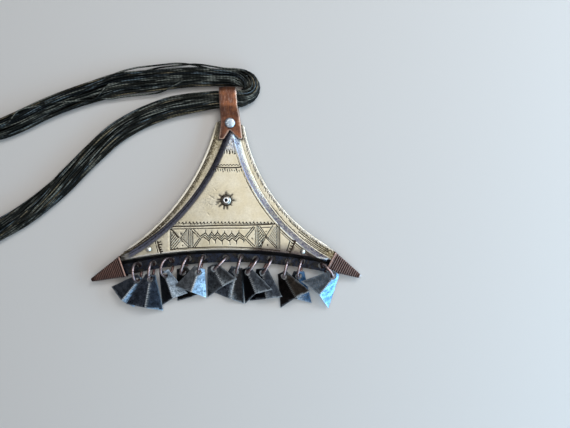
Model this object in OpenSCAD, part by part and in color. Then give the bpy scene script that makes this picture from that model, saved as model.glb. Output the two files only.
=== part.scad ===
// Necklace pendant: a hollow triangular metal box with curved-in sides, a strap bail on a
// many-strand cord, and a row of folded metal flags on jump rings. Millimetres, +Z up.
// The pendant lies face up on z = 0, its bail towards +Y.

/* [Plate and shell] */
// Underside of the back plate above the surface that it lies on
plate_z = 1.95; // [1.95:0.05:2.0]
// Thickness of the back plate
plate_t = 0.7; // [0.6:0.05:0.7]
// Thickness of the front shell's flange
flange_t = 0.75; // [0.6:0.05:0.75]
// Height of the raised panel above the back plate
panel_h = 4.8; // [4.4:0.1:5.2]
// Metal thickness of the raised panel
shell_t = 0.7; // [0.5:0.1:0.9]
// Sideways run of the panel's left wall
wall_left = 3.0; // [2.2:0.1:3.0]
// Sideways run of the panel's right wall
wall_right = 2.5; // [2.0:0.1:2.8]
// Sideways run of the panel's lower wall
wall_lower = 2.2; // [1.8:0.1:2.4]
// Diameter of the twelve holes in the strip
strip_hole_d = 3.0; // [2.9:0.1:3.0]

/* [Bail] */
// Thickness of the bail's strap
strap_t = 0.9; // [0.8:0.1:0.9]
// Diameter of the bail rivet's head
rivet_head_d = 5.1; // [4.6:0.1:5.4]
// Diameter of the bail rivet's shank
rivet_d = 2.4; // [2.0:0.1:2.4]

/* [Studs] */
// Diameter of the centre stud
stud_d = 5.0; // [4.4:0.1:5.6]
// Diameter of the small studs
small_stud_d = 2.5; // [2.2:0.1:2.8]

/* [Caps] */
// Metal thickness of the corner caps
cap_t = 0.5; // [0.4:0.05:0.5]

/* [Rings and flags] */
// Radius of a jump ring to the middle of its wire
ring_r = 4.3; // [4.2:0.05:4.3]
// Radius of a jump ring's wire
wire_r = 0.65; // [0.5:0.05:0.65]
// Sheet thickness of the flags
flag_t = 0.5; // [0.3:0.05:0.5]
// Diameter of the hole in a flag
flag_hole_d = 3.0; // [2.8:0.1:3.0]
// Distance from the hole's centre to the flag's top edge
flag_top = 2.4; // [2.2:0.1:2.4]

/* [Cord] */
// Half thickness of the bundle of strands
cord_half_t = 2.2; // [1.8:0.1:2.2]

/* [Hidden] */
$fn = 96;
gap = 0.05;
shell_z = plate_z + plate_t + gap;
flange_top = shell_z + flange_t;
panel_z = plate_z + plate_t + panel_h;
leaf_z = flange_top + gap;
back_leaf_z = plate_z - gap - strap_t;

// circles that bound the outline: centre x, centre y, radius (the metal lies outside them)
edge_left = [-106.6, 63.5, 104.6];
edge_right = [90.8, 50.0, 83.3];
edge_lower = [3.1, -244.7, 214.3];
// circles that bound the top of the raised panel
panel_left = [-97.7, 63.7, 105.3];
panel_right = [91.8, 48.1, 89.6];
panel_lower = [0.1, -263.85, 240.0];

// plan corners of each cap: mouth upper, mouth lower, tip upper, tip lower
cap_l = [[-51.9, -27.1], [-48.3, -37.4], [-66.0, -38.2], [-65.2, -39.9]];
cap_r = [[53.0, -25.2], [48.2, -34.4], [65.8, -36.6], [65.0, -38.3]];
cap_low = 1.25;
cap_high = 5.0;
cap_tip_low = 1.4;
cap_tip_high = 4.1;

rivet_at = [1.8, 37.3];
stud_at = [0.4, -0.3];
stud_left_at = [-36.6, -23.7];
stud_right_at = [37.0, -24.8];

// holes along the strip: x, y
strip_holes = [[-42.9, -31.6], [-35.8, -30.9], [-26.9, -29.4], [-18.7, -28.7],
    [-11.4, -27.9], [-0.6, -28.2], [6.7, -27.9], [14.1, -28.7],
    [21.2, -28.9], [30.0, -30.1], [37.1, -30.1], [46.2, -32.1]];

// one row for each jump ring: heading, lean, height at which it carries its flag
rings = [
    [  3.8,    -8,   5.1],
    [ -5.8,     1,   6.2],
    [-10.8,   -26,     5],
    [-20.8,    -2,     3],
    [-15.8,     3,   6.9],
    [-46.6,     5,   6.7],
    [-17.3,     6,   3.7],
    [-35.4,     9,   6.4],
    [-32.2,     7,   5.1],
    [-14.9,    -4,   6.8],
    [-13.7,   -10,   3.3],
    [ 40.1,    14,   6.6]];

// one row for each flag: heading, pitch, roll, half angle of the fold, length below the hole,
// half width at the bottom left, at the bottom right, at the top, drop of the left corner, of the right corner
flags = [
    [-39.4,   2.1,    13,  22.1,  12.4,   8.4,   7.4,   2.2,  -1.6,   0.3],
    [ -9.8,   0.7,  10.4,  23.4,  13.9,  10.3,   9.2,   2.4,   0.3,   1.2],
    [ 19.1,   1.6,  -7.9,  22.9,  11.6,   8.3,   7.4,   2.6,     2,   0.2],
    [ 17.6,   5.6,     0,     8,  12.9,   7.5,   7.8,   2.6,     0,     0],
    [-19.5,  -3.4,  14.7,  21.2,   9.8,   8.5,   8.9,   2.8,   0.1,   1.1],
    [ 28.6,     1,  -8.3,  17.6,   9.3,  11.5,   7.4,   2.6,   1.5,   0.2],
    [-11.8,     4,  -0.1,  16.1,  13.6,   8.7,   7.1,   2.8,  -0.8,   1.5],
    [ 22.5,  -3.1, -12.7,  21.1,  10.8,   8.6,   8.1,   2.2,     3,   1.3],
    [  9.4,   0.9,  -9.4,  17.7,  12.6,   9.5,   7.9,   2.8,   0.4,   0.5],
    [ 29.4,  -0.9,   -12,  24.1,  11.6,  11.4,     8,   2.3,   1.7,     1],
    [ -3.2,   5.1,  -0.2,   8.9,  11.6,   7.2,   7.3,   2.6,     0,   1.8],
    [-38.5,  -3.2,  13.1,  19.6,    11,  10.9,    10,   2.1,   0.5,   2.6]];

// the cord's route, closed on itself: x, y, height of its middle, half width
route = [
    [   1, 49.0, 3.3, 4.3], [  -5, 48.8, 3.2, 4.4], [ -12, 48.0, 2.7, 4.8], [ -20, 46.8, 2.3, 5.2],
    [ -29, 44.8, 2.3, 5.4], [ -41, 40.3, 2.3, 5.4], [ -53, 33.5, 2.3, 5.4], [ -65, 22.9, 2.3, 5.2],
    [ -76, 12.0, 2.3, 5.2], [ -86,  2.8, 2.3, 5.2], [ -98, -6.6, 2.3, 5.2], [-111, -14.4, 2.3, 5.2],
    [-128, -23, 2.3, 5], [-146, -29, 2.3, 5], [-165, -32.5, 2.3, 5], [-185, -34.5, 2.3, 5],
    [-205, -35, 2.3, 5], [-225, -34.5, 2.3, 5], [-245, -33, 2.3, 5], [-265, -29.5, 2.3, 5],
    [-283, -22, 2.3, 5], [-295.5, -11.5, 2.3, 5], [-300, 1, 2.3, 5], [-296, 14, 2.3, 5],
    [-283, 25, 2.3, 5], [-265, 31, 2.3, 5], [-245, 33, 2.3, 5], [-225, 33.5, 2.3, 5],
    [-205, 33, 2.3, 5], [-185, 31.5, 2.3, 5],
    [-165, 30, 2.3, 5], [-146, 29.5, 2.3, 5], [-128, 30.8, 2.3, 5],
    [-112, 34.2, 2.3, 5.2], [-101, 38.5, 2.3, 5.4], [ -90, 43.7, 2.3, 5.4], [ -78, 48.6, 2.3, 5.4],
    [ -66, 52.6, 2.3, 5.4], [ -52, 55.6, 2.3, 5.4], [ -37, 57.2, 2.3, 5.2], [ -22, 58.8, 2.3, 4.9],
    [  -9, 59.8, 2.3, 4.6], [   1, 60.2, 2.3, 4.4], [ 6.5, 59.9, 2.3, 4.4], [10.6, 58.2, 2.3, 4.3],
    [12.3, 54.8, 2.4, 4.2], [10.6, 51.4, 2.7, 4.2], [ 6.5, 49.4, 3.1, 4.3]];
cord_sides = 12;

function mix(a, b, t) = a + (b - a) * t;
function unit(v) = v / norm(v);
function ang(v) = atan2(v[1], v[0]);

// ---- plate outline ------------------------------------------------------------------------

// A point on a cap's mouth line, k beyond its upper corner, set back by b into the body
function mouth(c, k, b) = c[0] + unit(c[0] - c[1]) * k + unit(mix(c[0], c[1], 0.5) - mix(c[2], c[3], 0.5)) * b;

// The corner that runs into a cap: a point at fraction f across the mouth, and one past the tip
function corner_foot(c, f) = mouth(c, -f * norm(c[0] - c[1]), 0.15);
function corner_tip(c, f, past) = mix(c[2], c[3], f) + unit(mix(c[2], c[3], 0.5) - mix(c[0], c[1], 0.5)) * past;

module outline(past) {
    difference() {
        polygon([mouth(cap_l, -16, 0.15), mouth(cap_r, -14, 0.15),
            corner_foot(cap_r, 0.90), corner_tip(cap_r, 0.66, past), corner_tip(cap_r, 0.34, past), corner_foot(cap_r, 0.10),
            mouth(cap_r, 6, 0.15), [20, 20],
            [8.5, 35.8], [5.4, 37.9], [5.4, 42.0], [-2.4, 42.0], [-2.4, 38.7], [-5.1, 37.6],
            [-18, 22], mouth(cap_l, 6, 0.15),
            corner_foot(cap_l, 0.10), corner_tip(cap_l, 0.34, past), corner_tip(cap_l, 0.66, past), corner_foot(cap_l, 0.90)]);
        for (c = [edge_left, edge_right, edge_lower])
            translate([c[0], c[1]]) circle(r = c[2], $fn = 360);
        polygon([[-45.4, -21.2], [-51.6, -26.9], [-60, -30], [-60, -12], [-45.4, -12]]);
        polygon([[47.0, -20.8], [52.8, -25.1], [60, -28], [60, -12], [47.0, -12]]);
    }
}

module shanks(d_rivet, d_stud, d_small) {
    translate([rivet_at[0], rivet_at[1], -1]) cylinder(h = 12, d = d_rivet);
    translate([stud_at[0], stud_at[1], -1]) cylinder(h = 12, d = d_stud);
    for (p = [stud_left_at, stud_right_at])
        translate([p[0], p[1], -1]) cylinder(h = 12, d = d_small);
}

module back_plate() {
    color([0.20, 0.21, 0.22])
    difference() {
        translate([0, 0, plate_z]) linear_extrude(plate_t) outline(-2);
        for (p = strip_holes)
            translate([p[0], p[1], plate_z - 1]) cylinder(h = 3, d = strip_hole_d);
        shanks(rivet_d + 0.1, 2.5, 1.5);
    }
}

// ---- front shell --------------------------------------------------------------------------

// The space on the hollow side of one panel wall: a cone that widens upwards
module wall_cone(c, run, rise, inset) {
    k = run / rise;
    low = 2; high = 9;
    translate([c[0], c[1], low])
        cylinder(h = high - low, r1 = c[2] - k * (panel_z - low) + inset, r2 = c[2] + k * (high - panel_z) + inset, $fn = 360);
}

// Everything above a ramp that falls towards a cap's tip
module end_ramp(c, back) {
    m = mix(c[0], c[1], 0.5);
    translate([m[0], m[1], 0])
        rotate([0, 0, ang(mix(c[2], c[3], 0.5) - m)])
            translate([-5 - back, 0, panel_z])
                rotate([0, 42.3, 0]) translate([-2, -15, 0]) cube([30, 30, 14]);
}

module raised(inset, top, back) {
    difference() {
        translate([0, 0, shell_z - (inset > 0 ? 1 : 0)]) linear_extrude(top - shell_z + (inset > 0 ? 1 : 0))
            polygon([[-60, -45], [60, -45], [60, -10], [10, inset > 0 ? 27.5 : 41], [-6, inset > 0 ? 27.5 : 41], [-60, -10]]);
        wall_cone(panel_left, wall_left, panel_z - flange_top, inset);
        wall_cone(panel_right, wall_right, panel_z - flange_top, inset);
        wall_cone(panel_lower, wall_lower, panel_z - shell_z, inset);
        end_ramp(cap_l, back);
        end_ramp(cap_r, back);
    }
}

module bail_plan(grow) {
    g = grow;
    polygon([[-3.6 - g, 56], [-3.0 - g, 45], [-2.7 - g, 36.6], [-3.7 - g, 29.4 - g], [-1.3 + g, 29.4 - g],
        [1.7, 33.9 - g * 1.6], [5.7 - g, 29.7 - g], [7.8 + g, 29.6 - g], [6.9 + g, 37.4], [5.6 + g, 45], [4.8 + g, 56]]);
}

module front_shell() {
    color([0.85, 0.82, 0.72])
    difference() {
        union() {
            translate([0, 0, shell_z]) linear_extrude(flange_t) outline(0.5);
            intersection() {
                difference() {
                    raised(0, panel_z, 0);
                    translate([0, 0, flange_top]) linear_extrude(8) bail_plan(0.12);
                }
                translate([0, 0, 1]) linear_extrude(9) outline(0.5);
            }
        }
        wall_cone(panel_lower, wall_lower, panel_z - shell_z, 0);
        raised(shell_t * 1.25, panel_z - shell_t, 1.4);
        shanks(rivet_d + 0.1, 2.5, 1.5);
    }
}

// ---- caps ---------------------------------------------------------------------------------

// An upright rounded frame between two plan points, from z0 to z1, drawn in by s
module cap_frame(p, q, z0, z1, s, r) {
    half = norm(q - p) / 2 - s - r;
    m = mix(p, q, 0.5);
    translate([m[0], m[1], 0]) rotate([0, 0, ang(q - p)])
        for (x = [-half, half], z = [z0 + s + r, z1 - s - r])
            translate([x, 0, z]) rotate([90, 0, 0]) cylinder(h = 0.02, r = r, center = true, $fn = 20);
}

module cap_body(c, s, over) {
    e = unit(mix(c[2], c[3], 0.5) - mix(c[0], c[1], 0.5)) * over;
    hull() {
        cap_frame(c[0] - e, c[1] - e, cap_low, cap_high, s, 1.0 - s * 0.8);
        cap_frame(c[2] + e, c[3] + e, cap_tip_low, cap_tip_high, s, 0.75 - s * 1.1);
    }
}

module cap(c) {
    color([0.48, 0.27, 0.19])
    difference() {
        cap_body(c, 0, 0);
        cap_body(c, cap_t, 0.3);
    }
}

// ---- bail ---------------------------------------------------------------------------------

// Side profile of the strap, x along the pendant's length and y upwards
module strap_profile() {
    t = strap_t;
    cy = 51.8;
    zt = 6.55;
    zb = 0.05;
    zc = (zt + zb) / 2;
    polygon([[28, leaf_z], [40.4, leaf_z], [45.6, zt - t], [cy, zt - t], [cy, zt], [45.3, zt],
        [40.1, leaf_z + t], [28, leaf_z + t]]);
    difference() {
        translate([cy, zc]) circle(d = zt - zb);
        translate([cy, zc]) circle(d = zt - zb - 2 * t);
        translate([cy - 10, -2]) square([10, 12]);
    }
    polygon([[34.3, back_leaf_z], [40.4, back_leaf_z], [43.6, zb], [cy, zb], [cy, zb + t], [43.9, zb + t],
        [40.7, back_leaf_z + t], [34.3, back_leaf_z + t]]);
}

module bail() {
    color([0.60, 0.33, 0.20])
    difference() {
        intersection() {
            translate([-10, 0, 0]) rotate([90, 0, 90]) linear_extrude(24) strap_profile();
            translate([0, 0, -1]) linear_extrude(10) bail_plan(0);
        }
        shanks(rivet_d + 0.1, 0.1, 0.1);
    }
}

// A domed rivet: head of diameter d and height h with its base at z1, shank of diameter s,
// tail of diameter dt and height ht with its top at z0
module rivet(at, d, h, z1, s, z0, dt, ht) {
    r = (d * d / 4 + h * h) / (2 * h);
    translate([at[0], at[1], 0]) {
        intersection() {
            translate([0, 0, z1 + h - r]) sphere(r = r);
            translate([0, 0, z1]) cylinder(h = h + 1, d = d + 1);
        }
        translate([0, 0, z0 - ht / 2]) cylinder(h = z1 - z0 + ht / 2 + h / 2, d = s);
        translate([0, 0, z0 - ht]) cylinder(h = ht, d = dt);
    }
}

module bail_rivet() {
    color([0.72, 0.76, 0.80]) rivet(rivet_at, rivet_head_d, 0.9, leaf_z + strap_t + gap, rivet_d, back_leaf_z - gap, 4.4, back_leaf_z - gap);
}

module stud_centre() {
    color([0.80, 0.80, 0.78])
    difference() {
        rivet(stud_at, stud_d, 1.25, panel_z + gap, 2.4, plate_z - gap, 3.6, 0.5);
        translate([stud_at[0], stud_at[1], panel_z + 0.35]) cylinder(h = 3, d = 1.4);
    }
}

module stud_left() {
    color([0.80, 0.80, 0.78]) rivet(stud_left_at, small_stud_d, 0.95, panel_z + gap, 1.4, plate_z - gap, 2.3, 0.45);
}

module stud_right() {
    color([0.80, 0.80, 0.78]) rivet(stud_right_at, small_stud_d, 0.95, panel_z + gap, 1.4, plate_z - gap, 2.3, 0.45);
}

// ---- rings and flags ----------------------------------------------------------------------

// A ring stands in the plane of its heading and its leaning upright, its wire through the strip's hole
function heading(a) = [sin(a), -cos(a), 0];
function side(a) = [cos(a), sin(a), 0];
function ring_up(i) = cos(rings[i][1]) * [0, 0, 1] + sin(rings[i][1]) * side(rings[i][0]);
function ring_zc(i) = ring_r * cos(rings[i][1]) + wire_r + 0.05;
function ring_sin(i, z) = (z - ring_zc(i)) / (ring_r * cos(rings[i][1]));
function ring_cos(i, z) = sqrt(1 - pow(ring_sin(i, z), 2));
function ring_centre(i) = let (z = plate_z + plate_t / 2,
    off = ring_r * (-ring_cos(i, z) * heading(rings[i][0]) + ring_sin(i, z) * ring_up(i)))
    [strip_holes[i][0] - off[0], strip_holes[i][1] - off[1], ring_zc(i)];

module ring(i) {
    d = heading(rings[i][0]);
    v = ring_up(i);
    w = cross(d, v);
    c = ring_centre(i);
    color([0.62, 0.37, 0.28])
    multmatrix([[d[0], v[0], w[0], c[0]], [d[1], v[1], w[1], c[1]], [d[2], v[2], w[2], c[2]], [0, 0, 0, 1]])
        rotate_extrude() translate([ring_r, 0]) circle(r = wire_r, $fn = 32);
}

// The point of ring i that carries its flag
function carry(i) = let (z = rings[i][2])
    ring_centre(i) + ring_r * (ring_cos(i, z) * heading(rings[i][0]) + ring_sin(i, z) * ring_up(i));

module flag(i) {
    f = flags[i];
    d = heading(f[0]);
    s = side(f[0]);
    up = [0, 0, 1];
    a = cos(f[1]) * d - sin(f[1]) * up;
    n0 = sin(f[1]) * d + cos(f[1]) * up;
    s2 = cos(f[2]) * s - sin(f[2]) * n0;
    n = cos(f[2]) * n0 + sin(f[2]) * s;
    b = f[3];
    c = carry(i);
    len = f[4];
    far = 14;
    h = flag_t / 2;
    color([0.24, 0.27, 0.31])
    multmatrix([[s2[0], -a[0], n[0], c[0]], [s2[1], -a[1], n[1], c[1]], [s2[2], -a[2], n[2], c[2]], [0, 0, 0, 1]])
    difference() {
        intersection() {
            translate([0, flag_top + 1, 0]) rotate([90, 0, 0]) linear_extrude(len + flag_top + 6)
                polygon([[-far * cos(b) - h * sin(b), -far * sin(b) + h * cos(b)], [-far * cos(b) + h * sin(b), -far * sin(b) - h * cos(b)],
                    [0, -h / cos(b)], [far * cos(b) - h * sin(b), -far * sin(b) - h * cos(b)],
                    [far * cos(b) + h * sin(b), -far * sin(b) + h * cos(b)], [0, h / cos(b)]]);
            translate([0, 0, -9]) linear_extrude(12)
                polygon([[-f[7] * cos(b), flag_top], [-f[5] * cos(b), -len - f[8]], [0, -len],
                    [f[6] * cos(b), -len - f[9]], [f[7] * cos(b), flag_top]]);
        }
        translate([0, 0, -9]) cylinder(h = 12, d = flag_hole_d);
    }
}

// ---- cord ---------------------------------------------------------------------------------

// One ring of points round the bundle at each row of the route
function cord_side(i) = let (m = len(route), p = route[(i + m - 1) % m], q = route[(i + 1) % m],
    t = unit([q[0] - p[0], q[1] - p[1]])) [-t[1], t[0]];
function cord_point(i, k) = let (r = route[i], s = cord_side(i), a = 360 * (k + 0.5) / cord_sides)
    [r[0] + s[0] * r[3] * cos(a), r[1] + s[1] * r[3] * cos(a), r[2] + cord_half_t * sin(a)];

module cord() {
    m = len(route);
    n = cord_sides;
    color([0.10, 0.11, 0.10])
    polyhedron(
        points = [for (i = [0:m - 1], k = [0:n - 1]) cord_point(i, k)],
        faces = [for (i = [0:m - 1], k = [0:n - 1], h = [0, 1])
            let (a = i * n + k, b = i * n + (k + 1) % n, c = ((i + 1) % m) * n + (k + 1) % n, d = ((i + 1) % m) * n + k)
            h == 0 ? [a, b, c] : [a, c, d]]);
}

front_shell();
back_plate();
cap(cap_l);  // cap_left
cap(cap_r);  // cap_right
bail();
bail_rivet();
stud_centre();
stud_left();
stud_right();
ring(0);  // ring_01
ring(1);  // ring_02
ring(2);  // ring_03
ring(3);  // ring_04
ring(4);  // ring_05
ring(5);  // ring_06
ring(6);  // ring_07
ring(7);  // ring_08
ring(8);  // ring_09
ring(9);  // ring_10
ring(10);  // ring_11
ring(11);  // ring_12
flag(0);  // flag_01
flag(1);  // flag_02
flag(2);  // flag_03
flag(3);  // flag_04
flag(4);  // flag_05
flag(5);  // flag_06
flag(6);  // flag_07
flag(7);  // flag_08
flag(8);  // flag_09
flag(9);  // flag_10
flag(10);  // flag_11
flag(11);  // flag_12
cord();
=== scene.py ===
import math

import bmesh
import bpy
import numpy as np
from mathutils import Matrix, Vector
from mathutils.geometry import delaunay_2d_cdt

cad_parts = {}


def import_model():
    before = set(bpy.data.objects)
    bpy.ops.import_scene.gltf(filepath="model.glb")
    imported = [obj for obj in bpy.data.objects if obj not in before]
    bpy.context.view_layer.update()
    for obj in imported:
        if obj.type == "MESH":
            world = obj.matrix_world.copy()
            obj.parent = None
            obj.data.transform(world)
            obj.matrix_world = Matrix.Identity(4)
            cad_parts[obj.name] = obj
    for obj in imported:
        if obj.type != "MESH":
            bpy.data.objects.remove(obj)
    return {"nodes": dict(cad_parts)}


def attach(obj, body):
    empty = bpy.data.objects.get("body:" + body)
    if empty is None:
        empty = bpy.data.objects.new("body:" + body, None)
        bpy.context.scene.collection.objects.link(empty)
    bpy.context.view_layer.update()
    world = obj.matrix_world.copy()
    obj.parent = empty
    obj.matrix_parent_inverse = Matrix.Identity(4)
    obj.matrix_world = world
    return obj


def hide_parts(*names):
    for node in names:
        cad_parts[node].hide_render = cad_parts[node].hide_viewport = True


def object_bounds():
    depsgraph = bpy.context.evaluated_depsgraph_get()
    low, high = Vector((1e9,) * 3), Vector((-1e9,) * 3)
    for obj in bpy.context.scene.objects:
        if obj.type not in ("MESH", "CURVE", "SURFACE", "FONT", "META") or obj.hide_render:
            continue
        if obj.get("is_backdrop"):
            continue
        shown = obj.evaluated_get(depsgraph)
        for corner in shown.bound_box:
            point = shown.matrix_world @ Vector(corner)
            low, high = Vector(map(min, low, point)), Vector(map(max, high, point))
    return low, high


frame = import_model()
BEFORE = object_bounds()
NODES = frame["nodes"]
MM = 0.001
PI2 = 2 * math.pi
scene = bpy.context.scene


# ---- camera: straight down over the floor, as the photograph was taken ------------------------

EYE = (28.5, -6.9, 215.0)
FOCAL = 2.02 * EYE[2]
cam_data = bpy.data.cameras.new("camera")
cam_data.sensor_fit = "HORIZONTAL"
cam_data.sensor_width = 36.0
cam_data.lens = 36.0 * FOCAL / 570.0
cam_data.clip_start = 0.01
cam_data.clip_end = 20.0
camera = bpy.data.objects.new("camera", cam_data)
camera.location = Vector(EYE) * MM
camera.rotation_euler = (0, 0, 0)
scene.collection.objects.link(camera)
scene.camera = camera


def at(px, py, z=7.45):
    """The plan point in mm, at height z, that shows at that pixel of a 570 x 428 picture."""
    k = (EYE[2] - z) / FOCAL
    return ((px - 285.0) * k + EYE[0], (214.0 - py) * k + EYE[1])


# ---- the dimensions of the part's source, in mm -----------------------------------------------

PLATE_Z, PLATE_T, FLANGE_T, PANEL_H = 1.95, 0.7, 0.75, 4.8
SHELL_Z = PLATE_Z + PLATE_T + 0.05
FLANGE_TOP = SHELL_Z + FLANGE_T
PANEL_Z = PLATE_Z + PLATE_T + PANEL_H
EDGE_L, EDGE_R, EDGE_LOW = (-106.6, 63.5, 104.6), (90.8, 50.0, 83.3), (3.1, -244.7, 214.3)
PANEL_L, PANEL_R, PANEL_LOW = (-97.7, 63.7, 105.3), (91.8, 48.1, 89.6), (0.1, -263.85, 240.0)
RUN_L, RUN_R, RUN_LOW = 3.0, 2.5, 2.2
CAP_L = [(-51.9, -27.1), (-48.3, -37.4), (-66.0, -38.2), (-65.2, -39.9)]
CAP_R = [(53.0, -25.2), (48.2, -34.4), (65.8, -36.6), (65.0, -38.3)]
RIVET, STUD, STUD_L, STUD_R = (1.8, 37.3), (0.4, -0.3), (-36.6, -23.7), (37.0, -24.8)
HOLES = [(-42.9, -31.6), (-35.8, -30.9), (-26.9, -29.4), (-18.7, -28.7), (-11.4, -27.9), (-0.6, -28.2),
         (6.7, -27.9), (14.1, -28.7), (21.2, -28.9), (30.0, -30.1), (37.1, -30.1), (46.2, -32.1)]
RINGS = [(3.8, -8, 5.1), (-5.8, 1, 6.2), (-10.8, -26, 5), (-20.8, -2, 3), (-15.8, 3, 6.9), (-46.6, 5, 6.7),
         (-17.3, 6, 3.7), (-35.4, 9, 6.4), (-32.2, 7, 5.1), (-14.9, -4, 6.8), (-13.7, -10, 3.3), (40.1, 14, 6.6)]
RING_R, WIRE_R = 4.3, 0.65
FLAGS = [(-39.4, 2.1, 13, 22.1, 12.4, 8.4, 7.4, 2.2, -1.6, 0.3),
         (-9.8, 0.7, 10.4, 23.4, 13.9, 10.3, 9.2, 2.4, 0.3, 1.2),
         (19.1, 1.6, -7.9, 22.9, 11.6, 8.3, 7.4, 2.6, 2, 0.2), (17.6, 5.6, 0, 8, 12.9, 7.5, 7.8, 2.6, 0, 0),
         (-19.5, -3.4, 14.7, 21.2, 9.8, 8.5, 8.9, 2.8, 0.1, 1.1),
         (28.6, 1, -8.3, 17.6, 9.3, 11.5, 7.4, 2.6, 1.5, 0.2), (-11.8, 4, -0.1, 16.1, 13.6, 8.7, 7.1, 2.8, -0.8, 1.5),
         (22.5, -3.1, -12.7, 21.1, 10.8, 8.6, 8.1, 2.2, 3, 1.3),
         (9.4, 0.9, -9.4, 17.7, 12.6, 9.5, 7.9, 2.8, 0.4, 0.5), (29.4, -0.9, -12, 24.1, 11.6, 11.4, 8, 2.3, 1.7, 1),
         (-3.2, 5.1, -0.2, 8.9, 11.6, 7.2, 7.3, 2.6, 0, 1.8), (-38.5, -3.2, 13.1, 19.6, 11, 10.9, 10, 2.1, 0.5, 2.6)]
ROUTE = [(1, 49.0, 3.3, 4.3), (-5, 48.8, 3.2, 4.4), (-12, 48.0, 2.7, 4.8), (-20, 46.8, 2.3, 5.2),
         (-29, 44.8, 2.3, 5.4), (-41, 40.3, 2.3, 5.4), (-53, 33.5, 2.3, 5.4), (-65, 22.9, 2.3, 5.2),
         (-76, 12.0, 2.3, 5.2), (-86, 2.8, 2.3, 5.2), (-98, -6.6, 2.3, 5.2), (-111, -14.4, 2.3, 5.2),
         (-128, -23, 2.3, 5), (-146, -29, 2.3, 5), (-165, -32.5, 2.3, 5), (-185, -34.5, 2.3, 5),
         (-205, -35, 2.3, 5), (-225, -34.5, 2.3, 5), (-245, -33, 2.3, 5), (-265, -29.5, 2.3, 5),
         (-283, -22, 2.3, 5), (-295.5, -11.5, 2.3, 5), (-300, 1, 2.3, 5), (-296, 14, 2.3, 5),
         (-283, 25, 2.3, 5), (-265, 31, 2.3, 5), (-245, 33, 2.3, 5), (-225, 33.5, 2.3, 5),
         (-205, 33, 2.3, 5), (-185, 31.5, 2.3, 5), (-165, 30, 2.3, 5), (-146, 29.5, 2.3, 5),
         (-128, 30.8, 2.3, 5), (-112, 34.2, 2.3, 5.2), (-101, 38.5, 2.3, 5.4), (-90, 43.7, 2.3, 5.4),
         (-78, 48.6, 2.3, 5.4), (-66, 52.6, 2.3, 5.4), (-52, 55.6, 2.3, 5.4), (-37, 57.2, 2.3, 5.2),
         (-22, 58.8, 2.3, 4.9), (-9, 59.8, 2.3, 4.6), (1, 60.2, 2.3, 4.4), (6.5, 59.9, 2.3, 4.4),
         (10.6, 58.2, 2.3, 4.3), (12.3, 54.8, 2.4, 4.2), (10.6, 51.4, 2.7, 4.2), (6.5, 49.4, 3.1, 4.3)]


# ---- materials --------------------------------------------------------------------------------

class Paint:
    """A small helper round one material's node tree. Coordinates are the piece's own, in mm."""

    def __init__(self, name):
        self.mat = bpy.data.materials.new(name)
        self.mat.use_nodes = True
        self.t = self.mat.node_tree
        self.b = self.t.nodes["Principled BSDF"]
        tc = self.t.nodes.new("ShaderNodeTexCoord")
        mp = self.t.nodes.new("ShaderNodeMapping")
        mp.inputs["Scale"].default_value = (1000, 1000, 1000)
        self.t.links.new(tc.outputs["Object"], mp.inputs["Vector"])
        self.mm = mp.outputs["Vector"]

    def put(self, socket, value):
        if isinstance(value, bpy.types.NodeSocket):
            self.t.links.new(value, socket)
        elif isinstance(value, (tuple, list)) and len(value) == 3 and socket.type == "RGBA":
            socket.default_value = (*value, 1.0)
        else:
            socket.default_value = value

    def set(self, **values):
        for name, value in values.items():
            self.put(self.b.inputs[name.replace("_", " ")], value)

    def scaled(self, x, y, z, turn=0.0):
        mp = self.t.nodes.new("ShaderNodeMapping")
        mp.inputs["Scale"].default_value = (x, y, z)
        mp.inputs["Rotation"].default_value = (0, 0, math.radians(turn))
        self.t.links.new(self.mm, mp.inputs["Vector"])
        return mp.outputs["Vector"]

    def noise(self, scale, detail=3.0, rough=0.55, vector=None, bend=0.0):
        n = self.t.nodes.new("ShaderNodeTexNoise")
        self.t.links.new(vector or self.mm, n.inputs["Vector"])
        n.inputs["Scale"].default_value = scale
        n.inputs["Detail"].default_value = detail
        n.inputs["Roughness"].default_value = rough
        n.inputs["Distortion"].default_value = bend
        return n.outputs["Fac"]

    def spots(self, scale, vector=None):
        n = self.t.nodes.new("ShaderNodeTexVoronoi")
        self.t.links.new(vector or self.mm, n.inputs["Vector"])
        n.inputs["Scale"].default_value = scale
        return n.outputs["Distance"]

    def level(self, value, low, high, to_low=0.0, to_high=1.0):
        n = self.t.nodes.new("ShaderNodeMapRange")
        n.interpolation_type = "SMOOTHSTEP"
        self.put(n.inputs["Value"], value)
        n.inputs["From Min"].default_value = low
        n.inputs["From Max"].default_value = high
        n.inputs["To Min"].default_value = to_low
        n.inputs["To Max"].default_value = to_high
        return n.outputs["Result"]

    def sum(self, op, a, b=0.0, clamp=False):
        n = self.t.nodes.new("ShaderNodeMath")
        n.operation = op
        n.use_clamp = clamp
        self.put(n.inputs[0], a)
        self.put(n.inputs[1], b)
        return n.outputs[0]

    def mix(self, share, a, b):
        n = self.t.nodes.new("ShaderNodeMix")
        n.data_type = "RGBA"
        self.put(n.inputs[0], share)
        self.put(n.inputs[6], a)
        self.put(n.inputs[7], b)
        return n.outputs[2]

    def mark(self, name):
        n = self.t.nodes.new("ShaderNodeAttribute")
        n.attribute_name = name
        return n.outputs["Fac"]

    def bump(self, height, strength=0.3, distance=0.0001):
        n = self.t.nodes.new("ShaderNodeBump")
        n.inputs["Strength"].default_value = strength
        n.inputs["Distance"].default_value = distance
        self.put(n.inputs["Height"], height)
        self.t.links.new(n.outputs["Normal"], self.b.inputs["Normal"])


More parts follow.
